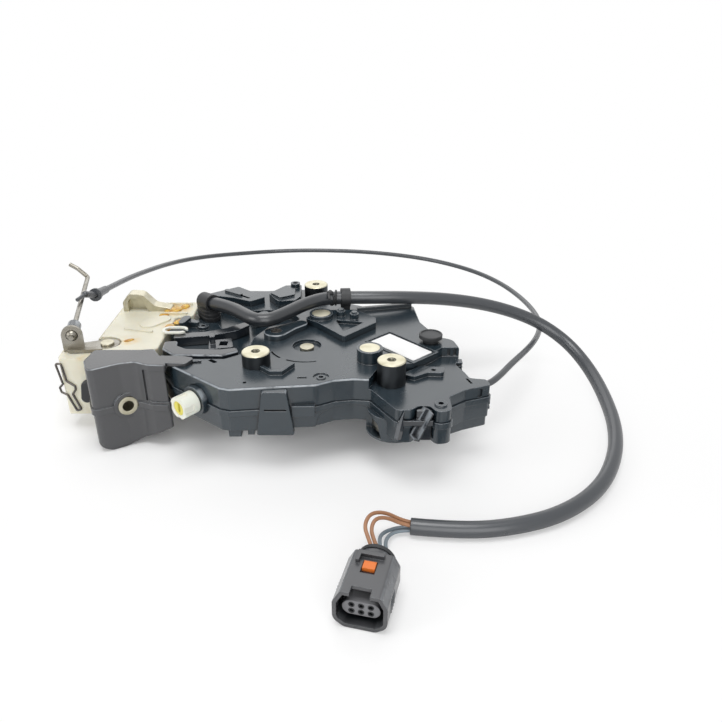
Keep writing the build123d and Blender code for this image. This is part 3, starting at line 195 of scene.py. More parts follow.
# %% One material
class Finish:
    """A material. Its surface sockets are set by name, and node() makes any other node."""

    def __init__(self, name, colour, roughness, **fixed):
        self.material = bpy.data.materials.new(name)
        self.material.use_nodes = True
        self.tree = self.material.node_tree
        self.surface = self.tree.nodes["Principled BSDF"]
        self.set("Base Color", (*colour, 1.0))
        self.set("Roughness", roughness)
        for socket, value in fixed.items():
            self.set(socket.replace("_", " "), value)
        self.place = self.node("ShaderNodeTexCoord", "Object")

    def set(self, socket, value):
        plug(self.tree, self.surface.inputs[socket], value)

    def node(self, kind, output, settings=None, **inputs):
        node = self.tree.nodes.new(kind)
        for setting, value in (settings or {}).items():
            setattr(node, setting, value)
        for socket, value in inputs.items():
            plug(self.tree, node.inputs[socket.replace("_", " ")], value)
        return Value(self.tree, node.outputs[output])

    def noise(self, size, detail=3.0):
        """Soft patches of about that size in metres, from 0 to 1."""
        settings = {"Vector": self.place, "Scale": 1.0 / size, "Detail": detail}
        return self.node("ShaderNodeTexNoise", "Fac", **settings)

    def normal(self):
        return self.node("ShaderNodeNewGeometry", "Normal")

    def rise(self, normal=None):
        """The height of a normal: 1 facing up, 0 on a wall and -1 facing down."""
        return self.node("ShaderNodeSeparateXYZ", "Z", Vector=normal or self.normal())

    def tint(self, mask, base, top):
        """Base colour where the mask is 0, top colour where it is 1."""
        node = self.tree.nodes.new("ShaderNodeMix")
        node.data_type = "RGBA"
        plug(self.tree, node.inputs[0], mask)
        for socket, colour in ((node.inputs[6], base), (node.inputs[7], top)):
            plug(self.tree, socket, colour if isinstance(colour, Value) else (*colour, 1.0))
        return Value(self.tree, node.outputs[2])

    def rounded(self, edge):
        """The normal of a surface whose sharp edges are rounded by edge in metres."""
        return self.node("ShaderNodeBevel", "Normal", {"samples": 4}, Radius=edge)

    def relief(self, height, depth, edge):
        """Bump of that depth in metres, over rounded edges where edge is more than 0."""
        under = {"Normal": self.rounded(edge)} if edge else {}
        settings = {"Height": height, "Distance": depth, "Strength": 1.0, **under}
        self.set("Normal", self.node("ShaderNodeBump", "Normal", **settings))

    def vectors(self, operation, first, second):
        """The number that a Vector Math node makes from two vectors."""
        node = self.tree.nodes.new("ShaderNodeVectorMath")
        node.operation = operation
        plug(self.tree, node.inputs[0], first)
        plug(self.tree, node.inputs[1], second)
        return Value(self.tree, node.outputs["Value"])

    def upward_edges(self, edge):
        """1 on edges that face up and 0 on flats, for a painted highlight: sharp ones by their
        normal, moulded radii by their slope.
        """
        rounded = self.rounded(edge)
        bent = 1.0 - self.vectors("DOT_PRODUCT", rounded, self.normal())
        rise = self.rise()
        slope = rise.between(0.2, 0.45) * (1.0 - rise.between(0.85, 0.97))
        facing_up = self.rise(rounded).between(0.1, 0.3)
        return highest([bent.between(0.02, 0.22), slope]) * facing_up

    def open_to_light(self, reach):
        """1 on open faces, falling to 0 deep in corners and slots that are reach metres wide."""
        settings = {"samples": 4, "only_local": False}
        light = self.node("ShaderNodeAmbientOcclusion", "AO", settings, Distance=reach)
        return light.between(0.25, 0.75)

    def near(self, centre, radius, edge):
        """1 within radius of a point, falling to 0 over edge, in metres."""
        away = self.vectors("DISTANCE", self.place, centre)
        return 1.0 - away.between(radius - edge, radius + edge)


# %% [markdown]
# ## A white room
#
# The camera sees a white world. Mirrors see nearly as much of it, and as a lamp it gives
# only a third, so that the shadows stay. The floor glows white to the camera, apart from
# soft round patches under the housing and the harness, where it shows its shadows.

# %% World
AMBIENT = 0.34
MIRRORED = 0.8
world_tree = world.node_tree
background = world_tree.nodes["Background"]
background.inputs["Color"].default_value = (1.0, 1.0, 1.0, 1.0)
rays = world_tree.nodes.new("ShaderNodeLightPath")
by_camera = Value(world_tree, rays.outputs["Is Camera Ray"])
by_mirror = Value(world_tree, rays.outputs["Is Glossy Ray"]) * MIRRORED
seen = highest([by_camera, by_mirror])
plug(world_tree, background.inputs["Strength"], seen * (1.0 - AMBIENT) + AMBIENT)
print("world light:", AMBIENT)

# %% Floor finish
SHADED = [  # middle, radius and soft edge in metres, and how much of the shadow shows
    ((-0.06, 0.03, 0.0), 0.115, 0.05, 0.95),
    ((0.06, 0.03, 0.0), 0.115, 0.05, 0.95),
    ((0.1, -0.13, 0.0), 0.15, 0.09, 0.65),
]
sheet = Finish("floor_sheet", (0.96, 0.96, 0.96), 0.6, Specular_IOR_Level=0.1)
shaded = highest([sheet.near(*patch) * share for *patch, share in SHADED])
glow = sheet.node("ShaderNodeEmission", "Emission", Strength=1.0)
lit = Value(sheet.tree, sheet.surface.outputs["BSDF"])
by_camera = sheet.node("ShaderNodeLightPath", "Is Camera Ray")
blend = sheet.tree.nodes.new("ShaderNodeMixShader")
for socket, value in zip(blend.inputs, (by_camera * (1.0 - shaded), lit, glow)):
    plug(sheet.tree, socket, value)
surface = sheet.tree.nodes["Material Output"].inputs["Surface"]
sheet.tree.links.new(blend.outputs["Shader"], surface)
floor.data.materials.append(sheet.material)
print("floor finish:", sheet.material.name)

# %% [markdown]
# ## Moulded plastics
#
# The housing is black glass-filled nylon. Its mould gives it a fine satin grain, and
# handling leaves a thin, uneven film of dust and grease on what faces up. So the colour
# and the roughness both follow two layers of noise, and a very fine bump breaks up the
# highlights. Edges that face up get a painted highlight, and deep corners get painted
# shade.

# %% How a plastic is made
EDGE = 0.0006  # metres; a thin round thing has 0, because rounding would mottle it
# rounding of the edges that get the painted highlight
HIGHLIGHT_ROUNDING = 0.0007
GRAIN, THIN_GRAIN = 0.000016, 0.000006  # metres
# colour of the painted highlight on edges, and of the painted shade in deep corners
PAINTED_HIGHLIGHT = (0.5, 0.54, 0.58)
PAINTED_CORNER_SHADE = (0.004, 0.005, 0.007)
finishes = {}


def moulded(
    slot, colour, roughness, dusty, dust=0.12, painted_light=0.0, reach=0.004, edge=EDGE, **fixed
):
    """A plastic under a film of dust. With painted_light it also has a painted highlight on edges
    that face up, and painted shade in deep corners.
    """
    finish = Finish(slot, colour, roughness, **fixed)
    film = finish.noise(0.035, 4.0) * finish.rise().between(0.2, 0.9)
    film = film.between(0.35, 0.8)
    specks = finish.noise(0.0012, 2.0).between(0.68, 0.74)
    dirty = (film * 0.75 + specks * 0.4).maths("MINIMUM", 1.0)
    tone = finish.tint(dirty * dust, colour, dusty)
    # painted light: a pale painted highlight on upward edges, and dark painted shade where little
    # light reaches
    if painted_light:
        unshaded = finish.open_to_light(reach)
        patchy = finish.noise(0.005).between(0.2, 0.55)
        edge_highlight_mask = finish.upward_edges(HIGHLIGHT_ROUNDING) * unshaded * patchy
        tone = finish.tint(edge_highlight_mask * painted_light, tone, PAINTED_HIGHLIGHT)
        tone = finish.tint(unshaded, PAINTED_CORNER_SHADE, tone)
    finish.set("Base Color", tone)
    finish.set("Roughness", finish.noise(0.012, 3.0) * 0.12 + (roughness - 0.06) + film * 0.06)
    grain = finish.noise(0.0009, 4.0) + finish.noise(0.014, 2.0) * 2.0
    finish.relief(grain, GRAIN if edge else THIN_GRAIN, edge)
    finishes[slot] = finish
    return finish


# %% Black and grey plastics
GREY_DUST = (0.42, 0.44, 0.46)
# after the dust colour: how much dust, then how strong the painted light is (highlight on upward
# edges, shade in corners), then how wide a corner is
moulded("black_nylon", (0.016, 0.027, 0.036), 0.22, GREY_DUST, 0.08, 0.5, Specular_IOR_Level=0.8)
moulded("black_gloss", (0.016, 0.02, 0.026), 0.15, GREY_DUST, 0.06, 0.5, Specular_IOR_Level=0.9)
moulded("rubber", (0.02, 0.021, 0.023), 0.5, GREY_DUST, 0.12)
moulded("cover_nylon", (0.05, 0.051, 0.055), 0.22, GREY_DUST, 0.08, 0.4, Specular_IOR_Level=0.8)
moulded(
    "plug_nylon", (0.062, 0.063, 0.068), 0.27, GREY_DUST, 0.08, 0.16, 0.014, Specular_IOR_Level=0.7
)
moulded("grey_plastic", (0.19, 0.19, 0.2), 0.45, (0.1, 0.1, 0.1), 0.3, 0.1, 0.005)
print("dark plastics:", sorted(finishes))

# %% The sleeve, darker round one point near its V bend
SLEEVE_GREY, V_BEND_DARK = (0.042, 0.047, 0.054), (0.016, 0.019, 0.023)
V_BEND_AT = (-38.0, 30.0, 60.0)
vinyl = moulded("sleeve", SLEEVE_GREY, 0.3, GREY_DUST, 0.05, edge=0.0, Specular_IOR_Level=0.8)
# the colour darkens round one point near the V bend
near_v_bend = vinyl.near(spot(*V_BEND_AT), 0.05, 0.02)
vinyl.set("Base Color", vinyl.tint(near_v_bend, SLEEVE_GREY, V_BEND_DARK))
print("sleeve:", vinyl.material.name)

# %% Coloured plastics
moulded("white_nylon", (0.86, 0.84, 0.74), 0.4, (0.55, 0.45, 0.25), 0.3, Subsurface_Weight=0.1)
moulded("gear_plastic", (0.8, 0.78, 0.7), 0.4, (0.5, 0.4, 0.2), 0.5)
moulded("yellow_plastic", (0.76, 0.68, 0.12), 0.38, (0.4, 0.3, 0.06), 0.4)
moulded("orange_plastic", (0.82, 0.2, 0.03), 0.35, (0.4, 0.1, 0.03), 0.4)
moulded("wire_brown", (0.36, 0.17, 0.08), 0.35, (0.6, 0.48, 0.4), 0.35, edge=0.0)
moulded("wire_grey", (0.2, 0.25, 0.29), 0.4, (0.5, 0.5, 0.5), 0.2, edge=0.0)
moulded("label", (0.9, 0.9, 0.9), 0.35, (0.6, 0.6, 0.58), 0.2)
print("plastics:", len(finishes))

# %% Cream nylon with its grease
FRESH_CREAM, AGED_CREAM, SOAKED = (0.76, 0.73, 0.6), (0.66, 0.63, 0.5), (0.7, 0.42, 0.07)
STAIN_EDGE = 0.004
STAINS = [  # middle and radius in millimetres
    ((-92.0, 58.0, 50.5), 9.0), ((-86.0, 31.0, 50.5), 7.0), ((-109.0, 10.0, 50.5), 5.0),
    ((-128.0, -11.0, 50.0), 6.0), ((-133.0, -17.0, 40.0), 6.0),
]
cream = moulded(
    "cream_nylon", (0.73, 0.7, 0.56), 0.36, (0.5, 0.4, 0.2), 0.35, Subsurface_Weight=0.25
)
cream.set("Subsurface Scale", 0.004)
cream.set("Subsurface Radius", (1.0, 0.8, 0.5))
stains = [cream.near(spot(*place), radius * MM, STAIN_EDGE) for place, radius in STAINS]
soaked = highest(stains) * cream.noise(0.006, 4.0).between(0.3, 0.65)
aged = cream.noise(0.02, 3.0).between(0.3, 0.8)
plain = cream.tint(aged, FRESH_CREAM, AGED_CREAM)
cream.set("Base Color", cream.tint(soaked * 0.75, plain, SOAKED))
print("grease stains:", len(STAINS))

# %% [markdown]
# ## Metals
#
# The plate, the rivets and the bosses are steel with a thin zinc coat, pale and slightly
# yellow. The rod is drawn wire, and the springs and the screw are oiled black. Each has
# darker patches where hands and grease have been.

# %% Metal finishes
SCALE, THIN_SCALE = 0.00003, 0.00001  # metres


def metal(slot, colour, roughness, stain, painted_wall_reflection=None, edge=EDGE):
    """A metal with darker patches. Its walls may get a painted dark reflection, as a mirror of the
    dark round it.
    """
    finish = Finish(slot, colour, roughness, Metallic=1.0)
    patch = finish.noise(0.006, 4.0).between(0.35, 0.75)
    tone = finish.tint(patch * 0.6, colour, stain)
    if painted_wall_reflection:
        # painted reflection: walls darker than tops, as if they mirrored the dark round them
        tone = finish.tint(finish.rise().between(0.3, 0.8), painted_wall_reflection, tone)
    finish.set("Base Color", tone)
    finish.set("Roughness", patch * 0.15 + roughness)
    finish.relief(finish.noise(0.0006, 3.0), SCALE if edge else THIN_SCALE, edge)
    finishes[slot] = finish


metal("zinc_steel", (0.56, 0.53, 0.42), 0.3, (0.36, 0.33, 0.22))
metal("bright_steel", (0.31, 0.295, 0.26), 0.24, (0.2, 0.18, 0.14), edge=0.0)
metal("dark_steel", (0.12, 0.115, 0.11), 0.35, (0.2, 0.17, 0.14))
# brass with a painted dark reflection on its walls
metal("brass", (0.62, 0.59, 0.46), 0.34, (0.48, 0.44, 0.3), painted_wall_reflection=(0.05, 0.055, 0.06))
print("finishes:", len(finishes))

# %% Give every CAD node its finish
slot_of = {row["node"]: row["material_slot"] for row in frame["record"]["subparts"]}
FINER = {  # nodes whose look is finer than their slot's
    "latch_cover": "cover_nylon",
    "connector_shell": "plug_nylon",
    "cable_ferrule": "sleeve",
    "cover_screw": "dark_steel",
    "harness_clamp": "rubber",
    "rod_ball": "bright_steel",
}
slot_of.update(FINER)
for name, node in nodes.items():
    node.data.materials.clear()
    node.data.materials.append(finishes[slot_of[name]].material)
print("nodes with a finish:", len(nodes))

# %% [markdown]
# ## Cords
#
# The harness sleeve, the pull cable and the wires are lengths of something flexible. Each
# is one smooth curve through the points of its route, with a round bevel for thickness.
# A NURBS curve of order 3 is used, because it bends evenly and never kinks.

# %% A cord from its route
def lay_cord(
    name, route, diameter, slot, length, finish=None
):
    """A smooth cord along a route that starts where it leaves, all in millimetres."""
    data = bpy.data.curves.new(name, "CURVE")
    data.dimensions = "3D"
    data.bevel_depth = diameter * MM / 2.0
    data.bevel_resolution = 8
    data.resolution_u = 10
    data.use_fill_caps = True
    spline = data.splines.new("NURBS")
    spline.points.add(len(route) - 1)
    for point, (x, y, z) in zip(spline.points, route):
        point.co = (*spot(x, y, z), 1.0)
    spline.order_u = 3
    spline.use_endpoint_u = True
    cord = bpy.data.objects.new(name, data)
    bpy.context.scene.collection.objects.link(cord)
    data.materials.append(finishes[finish or slot].material)
    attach(cord, "module")
    length * MM
    return cord


# %% Harness sleeve
SLEEVE = [
    (-66.0, 50.5, 58.6), (-58.0, 43.0, 60.0), (-48.0, 34.6, 60.6), (-39.6, 25.0, 60.6),
    (-34.0, 19.2, 60.6), (-28.6, 17.0, 60.6), (-22.8, 18.6, 60.6), (-14.0, 27.4, 61.2),
    (-3.6, 40.0, 62.0), (8.0, 49.6, 62.0), (22.0, 52.6, 61.4), (40.0, 53.6, 61.0),
    (62.0, 57.5, 59.6), (88.0, 66.5, 55.0), (115.0, 76.4, 47.6), (140.0, 83.0, 38.5),
    (162.0, 83.4, 28.6), (180.0, 74.0, 17.6), (189.6, 52.0, 9.0), (191.0, 20.0, 5.0),
    (186.6, -16.0, 4.3), (176.0, -48.0, 4.4), (158.6, -77.0, 4.3), (133.0, -98.0, 4.4),
    (104.0, -107.6, 4.3), (79.0, -109.4, 4.4), (57.0, -106.4, 4.4),
]
sleeve = lay_cord("harness_sleeve_tube", SLEEVE, 8.5, "sleeve", 566.0)
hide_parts("harness_sleeve")
print("sleeve points:", len(SLEEVE))

# %% Pull cable
CABLE = [
    (98.5, -14.54, 31.0), (107.7, -10.65, 31.0), (116.6, 0.6, 30.8), (128.0, 21.0, 29.0),
    (142.0, 46.0, 25.0), (155.0, 73.0, 20.0), (166.0, 103.0, 14.4), (173.4, 135.0, 9.0),
    (175.5, 168.0, 4.8), (172.0, 202.0, 2.4), (162.0, 234.0, 2.1), (146.0, 262.0, 2.2),
    (124.0, 286.0, 2.1), (97.0, 305.0, 2.2), (66.0, 319.0, 2.1), (33.0, 327.6, 2.2),
    (0.0, 331.6, 2.1), (-33.0, 331.8, 2.2), (-64.0, 326.0, 2.8), (-92.0, 311.5, 5.4),
    (-116.0, 289.0, 10.4), (-133.0, 260.0, 16.6), (-143.5, 227.0, 23.2), (-148.8, 193.0, 30.0),
    (-151.0, 161.0, 36.8), (-151.4, 135.0, 42.2), (-150.6, 112.0, 47.2), (-149.4, 92.0, 51.7),
]
cable = lay_cord(
    "pull_cable_tube",
    CABLE,
    4.0,
    "black_nylon",
    808.0,
    finish="sleeve",
)
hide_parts("pull_cable")
print("cable points:", len(CABLE))

# %% [markdown]
# ## Wires between the sleeve and the plug
#
# Each wire leaves the sleeve's mouth and ends in the plug's back. Both ends are given
# from what they sit in: so far aside from its middle, so high above the floor, and so
# far out from it. Only the points between them are places of their own.

# %% Places on the sleeve and the plug
PLUG_FACE = (31.5, -166.5)
PLUG_REACH = 32.0
PLUG_TURN = math.radians(-14.5)


def sleeve_mouth(aside, z, out):
    end, before = Vector(SLEEVE[-1]), Vector(SLEEVE[-2])
    run = Vector((end.x - before.x, end.y - before.y, 0.0)).normalized()
    return (end.x + run.x * out + run.y * aside, end.y + run.y * out - run.x * aside, z)


def plug_spot(x, y, z):
    """A place on the plug: x across it, y back from its mating face, z above the floor."""
    across = (math.cos(PLUG_TURN), math.sin(PLUG_TURN))
    back = (-math.sin(PLUG_TURN), math.cos(PLUG_TURN))
    return (
        PLUG_FACE[0] + across[0] * x + back[0] * y,
        PLUG_FACE[1] + across[1] * x + back[1] * y,
        z,
    )


def plug_back(aside, z, out):
    return plug_spot(aside, PLUG_REACH + out, z)


print("plug's back at", [round(v, 1) for v in plug_back(0.0, 0.0, 0.0)])

# %% Wires
WIRE_D = 1.9
WIRES = {  # the mouth's aside, z and next z, the plug's aside and z; the length; the points
    "brown_wire_a": (
        (1.3, 5.85, 6.6, -3.6, 12.0),
        49.6,
        [(44.0, -105.6, 12.6), (36.6, -111.0, 16.4), (33.6, -119.5, 16.0), (35.6, -125.6, 13.4)],
    ),
    "brown_wire_b": (
        (-1.3, 5.85, 6.6, -1.0, 12.4),
        44.3,
        [(44.4, -108.9, 12.2), (38.8, -113.4, 15.0), (36.8, -120.0, 14.2), (38.2, -126.0, 12.8)],
    ),
    "grey_wire_a": (
        (1.3, 2.95, 2.4, 1.4, 8.0),
        42.6,
        [(44.6, -107.6, 2.6), (41.2, -113.6, 4.4), (41.0, -121.6, 6.4)],
    ),
    "grey_wire_b": (
        (-1.3, 2.95, 2.4, 4.0, 8.4),
        38.6,
        [(47.0, -109.4, 2.5), (44.2, -115.6, 4.2), (43.6, -123.4, 6.6)],
    ),
}
for name, (ends, length, middle) in WIRES.items():
    aside, z, next_z, seat, seat_z = ends
    route = [sleeve_mouth(aside, z, 0.1), sleeve_mouth(aside, next_z, 5.0), *middle]
    route += [plug_back(seat, seat_z, 4.6), plug_back(seat, seat_z, 0.0)]
    slot = "wire_brown" if name.startswith("brown") else "wire_grey"
    wire = lay_cord(
        name + "_line", route, WIRE_D, slot, length
    )
    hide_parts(name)
print("wires:", len(WIRES))

# %% [markdown]
# ## A workbench for the small pieces
#
# What a mould, a tap or a pair of hands leaves on the real latch is too fine for the CAD
# model: thread crests, the open end of the sleeve, terminals in the plug, grease. These
# are made here one by one. Each starts as a primitive, some are shaped in edit mode, and
# each ends with its place in its mesh. The helpers take millimetres.

# %% Primitives
def clear_bench():
    """Leaves nothing selected and no mesh open."""
    if bpy.context.mode != "OBJECT":
        bpy.ops.object.mode_set(mode="OBJECT")
    bpy.ops.object.select_all(action="DESELECT")


def ring(place, turn, radius, wire, around, across):
    """A torus, with its number of faces around it and across its wire."""
    clear_bench()
    bpy.ops.mesh.primitive_torus_add(
        location=spot(*place),
        rotation=turn,
        major_radius=radius * MM,
        minor_radius=wire * MM,
        major_segments=around,
        minor_segments=across,
    )


def disc(place, turn, radius, thick, sides):
    clear_bench()
    bpy.ops.mesh.primitive_cylinder_add(
        vertices=sides,
        radius=radius * MM,
        depth=thick * MM,
        location=spot(*place),
        rotation=turn,
    )


def bar(place, turn, size, edge=0.0):
    """A box, with its edges rounded by edge."""
    clear_bench()
    bpy.ops.mesh.primitive_cube_add(
        size=1.0, location=spot(*place), rotation=turn, scale=Vector(size) * MM
    )
    fix_place()
    if edge:
        bpy.ops.object.mode_set(mode="EDIT")
        bpy.ops.mesh.select_all(action="SELECT")
        bpy.ops.mesh.bevel(offset=edge * MM, segments=2)


def step_end(way, wall, out):
    """Insets the end that faces a way by wall, and moves its middle out, or in if negative."""
    fix_place()
    bpy.ops.object.mode_set(mode="OBJECT")
    for face in bpy.context.object.data.polygons:
        face.select = face.normal.dot(way) > 0.9
    bpy.ops.object.mode_set(mode="EDIT")
    bpy.ops.mesh.inset(thickness=wall * MM)
    bpy.ops.mesh.extrude_region_move(TRANSFORM_OT_translate={"value": tuple(way * out * MM)})


# %% From the bench to the model
SMOOTH = math.radians(40.0)


def settle(name, slot, finish=None):
    """Names and finishes the active object, puts its place in its mesh, and mounts it."""
    piece = bpy.context.object
    if piece.mode != "OBJECT":
        bpy.ops.object.mode_set(mode="OBJECT")
    piece.name = name
    fix_place()
    bpy.ops.object.shade_smooth_by_angle(angle=SMOOTH)
    piece.data.materials.append(finishes[finish or slot].material)
    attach(piece, "module")
    return piece


def copy_to(piece, name, shift):
    """A copy of a settled piece with its own mesh, moved by shift."""
    clear_bench()
    twin = piece.copy()
    twin.data = piece.data.copy()
    twin.name = name
    twin.parent = None
    bpy.context.scene.collection.objects.link(twin)
    twin.location = Vector(shift) * MM
    twin.select_set(True)
    bpy.context.view_layer.objects.active = twin
    fix_place()
    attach(twin, "module")


# %% [markdown]
# ## Threads in the bosses
#
# Each boss is tapped for a machine screw. Only the first few crests can be seen, as fine
# rings just inside the mouth. A thin torus makes one crest, and it is copied down the
# bore at the thread's pitch. A true helix would look the same at this size.

# %% Thread crests
THREAD_R, CREST_R = 2.5, 0.22
PITCH, CRESTS, FIRST_Z = 0.8, 6, 59.3
BOSSES = {"left": (-26.9, -23.9), "right": (49.0, -34.6), "rear": (1.1, 81.1)}
first_x, first_y = BOSSES["left"]
ring((first_x, first_y, FIRST_Z), (0.0, 0.0, 0.0), THREAD_R, CREST_R, 40, 8)
first_crest = settle("thread_crest_left_0", "zinc_steel")
for side, (x, y) in BOSSES.items():
    for k in range(CRESTS):
        if (side, k) != ("left", 0):
            shift = (x - first_x, y - first_y, -k * PITCH)
            copy_to(first_crest, f"thread_crest_{side}_{k}", shift)
print("thread crests:", len(BOSSES) * CRESTS)

# %% [markdown]
# ## Grease
#
# The pivots were packed with yellow grease, and some has crept out over the cream body.
# It lies in low, glossy lumps with a soft edge. An ico sphere is flattened, its points
# are pushed about at random, and a subdivision smooths the result.

# %% Grease finish
grease = Finish("grease", (0.7, 0.4, 0.03), 0.2, Subsurface_Weight=0.15)
grease.set("Subsurface Scale", 0.002)
thick = grease.noise(0.003, 3.0).between(0.3, 0.7)
grease.set("Base Color", grease.tint(thick, (0.78, 0.52, 0.08), (0.42, 0.17, 0.01)))
grease.set("Roughness", grease.noise(0.002) * 0.2 + 0.12)
grease.relief(grease.noise(0.0014, 4.0), 0.0003, EDGE)
print("grease:", grease.material.name)

# %% Grease lumps
def lump(name, place, size, turn, seed):
    """A flat lump. Its size is its three radii, and turn is in degrees."""
    clear_bench()
    bpy.ops.mesh.primitive_ico_sphere_add(
        subdivisions=3,
        radius=MM,
        location=spot(*place),
        rotation=(0.0, 0.0, math.radians(turn)),
        scale=size,
    )
    bpy.ops.object.mode_set(mode="EDIT")
    bpy.ops.mesh.select_all(action="SELECT")
    bpy.ops.transform.vertex_random(offset=0.45 * MM, uniform=0.0, normal=0.0, seed=seed)
    bpy.ops.mesh.vertices_smooth(factor=0.5, repeat=2)
    bpy.ops.object.mode_set(mode="OBJECT")
    soft = bpy.context.object.modifiers.new("soft", "SUBSURF")
    soft.levels = 1
    soft.render_levels = 1
    bpy.ops.object.modifier_apply(modifier="soft")
    piece = bpy.context.object
    piece.name = name
    fix_place()
    bpy.ops.object.shade_smooth()
    piece.data.materials.append(grease.material)
    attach(piece, "module")


LUMPS = [
    ("grease_ear", (-93.0, 57.0, 50.8), (6.4, 4.6, 1.5), 20.0),
    ("grease_ear_side", (-86.4, 62.4, 50.7), (4.0, 3.0, 1.3), 60.0),
    ("grease_ear_low", (-97.0, 49.0, 50.6), (3.2, 4.6, 0.9), -15.0),
    ("grease_finger", (-88.6, 29.0, 50.7), (3.4, 5.2, 1.4), 10.0),
    ("grease_finger_top", (-85.0, 36.8, 50.9), (3.0, 4.2, 1.2), -20.0),
    ("grease_release", (-109.0, 10.0, 50.6), (3.4, 1.8, 0.6), 35.0),
    ("grease_bracket", (-57.0, 20.0, 47.6), (2.2, 1.5, 0.8), 0.0),
]
FIRST_SEED = 3
for seed, (name, place, size, turn) in enumerate(LUMPS, FIRST_SEED):
    lump(name, place, size, turn, seed)
print("grease lumps:", len(LUMPS))

# %% [markdown]
# ## The open end of the sleeve
#
# The sleeve is a plain vinyl tube, cut square, with the wires running inside. Its curve
# is a closed rod, so a ring at its end shows the wall, and a dark disc in it is painted
# shade for the hollow.

# %% Sleeve mouth
end, before = Vector(SLEEVE[-1]), Vector(SLEEVE[-2])
run = (end - before).normalized()
tilt = run.to_track_quat("Z", "Y").to_euler()
ring(end, tilt, 3.72, 0.52, 64, 12)
settle("sleeve_mouth_ring", "sleeve")
# a dark disc just inside the end: painted shade of the hollow
disc(end + run * 0.04, tilt, 3.4, 0.12, 48)
settle("sleeve_hollow_shade", "rubber")
print("sleeve mouth at", [round(v, 1) for v in end])

# %% [markdown]
# ## Inside the plug
#
# The grey insert holds six terminals. Their fronts are plain tin-plated sockets, sunk a
# little behind the face. One is a short tube with a closed back, and the rest are copies.
# On the plug's back each wire passes a soft ribbed grommet.

# %% Terminals
PLUG_AIM = (math.radians(90.0), 0.0, PLUG_TURN)
PLUG_MIDDLE_Z = 8.6
front = Vector((math.sin(PLUG_TURN), -math.cos(PLUG_TURN), 0.0))
TERMINALS = [(x, z) for x in (-4.2, 0.0, 4.2) for z in (-1.7, 1.7)]
first_x, first_z = TERMINALS[0]
disc(plug_spot(first_x, 6.2, PLUG_MIDDLE_Z + first_z), PLUG_AIM, 0.82, 2.6, 24)
step_end(front, 0.3, -1.8)
first_terminal = settle("terminal_0", "brass")
origin = Vector(plug_spot(first_x, 0.0, first_z))
shifts = [Vector(plug_spot(x, 0.0, z)) - origin for x, z in TERMINALS[1:]]
for k, shift in enumerate(shifts, 1):
    copy_to(first_terminal, f"terminal_{k}", shift)
print("terminals:", len(TERMINALS))

# %% Dark rings round the terminal holes, as painted shade
# a dark ring at each hole's mouth is painted shade of the deep hole
ring(plug_spot(first_x, 2.95, PLUG_MIDDLE_Z + first_z), PLUG_AIM, 1.12, 0.26, 36, 10)
first_shade_ring = settle("hole_shade_ring_0", "rubber")
for k, shift in enumerate(shifts, 1):
    copy_to(first_shade_ring, f"hole_shade_ring_{k}", shift)
print("hole shade_rings:", len(TERMINALS))

# %% Grommets behind the plug
for name, ((*_mouth, seat, seat_z), _length, _middle) in WIRES.items():
    disc(plug_back(seat, seat_z, 0.3), PLUG_AIM, 1.6, 1.0, 32)
    step_end(-front, 0.35, 0.8)
    settle(name + "_grommet", "rubber")
print("grommets:", len(WIRES))

# %% [markdown]
# ## Tie round the harness
#
# Beside its clamp the sleeve is held by a nylon tie, wound twice and pulled tight at a
# slant. Its two turns are rings that lean apart. Its head and its cut tail are small
# bars, and the head's edges are rounded.

# %% Tie
TIE_AT = Vector((12.6, 50.6, 61.9))
sleeve_way = Vector(SLEEVE[10]) - Vector(SLEEVE[9])
slant = sleeve_way.to_track_quat("Z", "Y").to_euler()
for k, (along, lean) in enumerate(((0.0, 16.0), (3.2, -10.0))):
    turn = (slant.x, slant.y, slant.z + math.radians(lean))
    ring(TIE_AT + sleeve_way.normalized() * along, turn, 4.6, 0.7, 56, 10)
    settle(f"tie_strap_{k}", "black_gloss", finish="rubber")
head_turn = (math.radians(-16.0), 0.0, math.radians(14.0))
bar(TIE_AT + Vector((-0.6, -1.4, 4.2)), head_turn, (3.6, 4.4, 2.2), 0.4)
settle("tie_head", "black_gloss", finish="rubber")
tail_turn = (math.radians(38.0), 0.0, math.radians(14.0))
bar(TIE_AT + Vector((-1.0, -5.2, 3.4)), tail_turn, (1.6, 4.6, 0.7))
settle("tie_tail", "black_gloss", finish="rubber")
print("tie at", [round(v, 1) for v in TIE_AT])

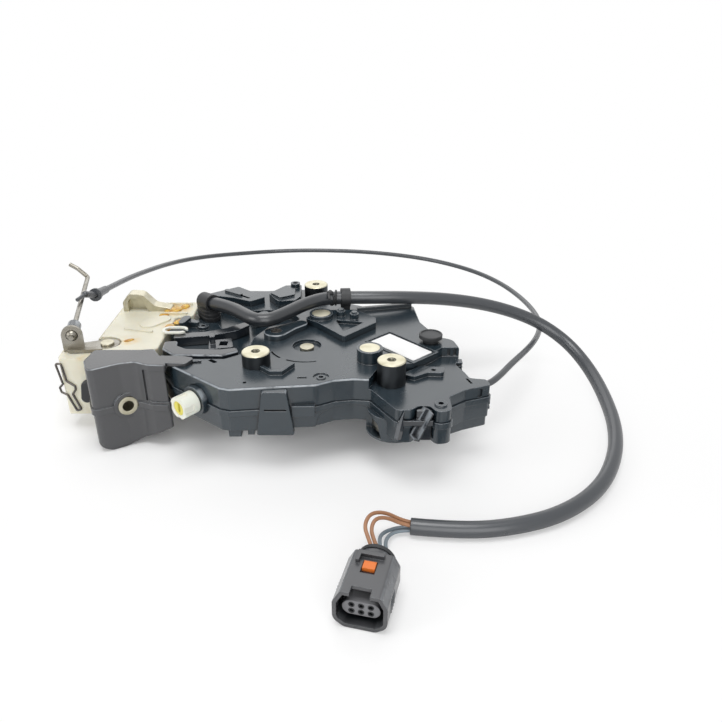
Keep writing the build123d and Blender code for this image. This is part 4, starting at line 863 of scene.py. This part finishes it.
# %% [markdown]
# ## Grip ribs on the plug
#
# Fingers pull the plug by its sides, so each side has a few low ribs near the mouth. One
# long thin bar with rounded edges makes a rib, and the others are copies of it.

# %% Grip ribs
RIB_ASIDE, RIB_Y, RIB_Z = 11.86, 7.6, 8.8
RIB_STEP, RIB_COUNT = 1.9, 4
ribs = [
    Vector(plug_spot(side * RIB_ASIDE, RIB_Y + RIB_STEP * k, RIB_Z))
    for side in (-1.0, 1.0)
    for k in range(RIB_COUNT)
]
bar(ribs[0], (0.0, 0.0, PLUG_TURN), (0.5, 0.7, 7.6), 0.16)
first_rib = settle("grip_rib_0", "black_nylon")
for k, place in enumerate(ribs[1:], 1):
    copy_to(first_rib, f"grip_rib_{k}", place - ribs[0])
print("grip ribs:", len(ribs))

# %% [markdown]
# ## Label frame
#
# The label sits in a shallow frame moulded in the deck: a thin raised border that guides
# the hand that sticks it on. A plane of the frame's size is inset, its middle is deleted,
# and the border that is left is extruded upwards.

# %% Frame round the label
LABEL_AT = (56.0, -2.4, 52.0)
LABEL_TURN = math.radians(-47.0)
FRAME_LENGTH, FRAME_WIDTH = 40.0, 21.0
FRAME_WALL, FRAME_HEIGHT = 0.9, 0.5
clear_bench()
bpy.ops.mesh.primitive_plane_add(
    size=1.0, location=spot(*LABEL_AT), rotation=(0.0, 0.0, LABEL_TURN)
)
bpy.context.object.scale = (FRAME_LENGTH * MM, FRAME_WIDTH * MM, 1.0)
fix_place()
bpy.ops.object.mode_set(mode="EDIT")
bpy.ops.mesh.select_all(action="SELECT")
bpy.ops.mesh.inset(thickness=FRAME_WALL * MM)
bpy.ops.mesh.delete(type="FACE")
bpy.ops.mesh.select_all(action="SELECT")
rise = (0.0, 0.0, FRAME_HEIGHT * MM)
bpy.ops.mesh.extrude_region_move(TRANSFORM_OT_translate={"value": rise})
bpy.ops.mesh.select_all(action="SELECT")
bpy.ops.mesh.normals_make_consistent(inside=False)
settle("label_frame", "black_nylon")
print("label frame:", FRAME_LENGTH, "by", FRAME_WIDTH, "mm")
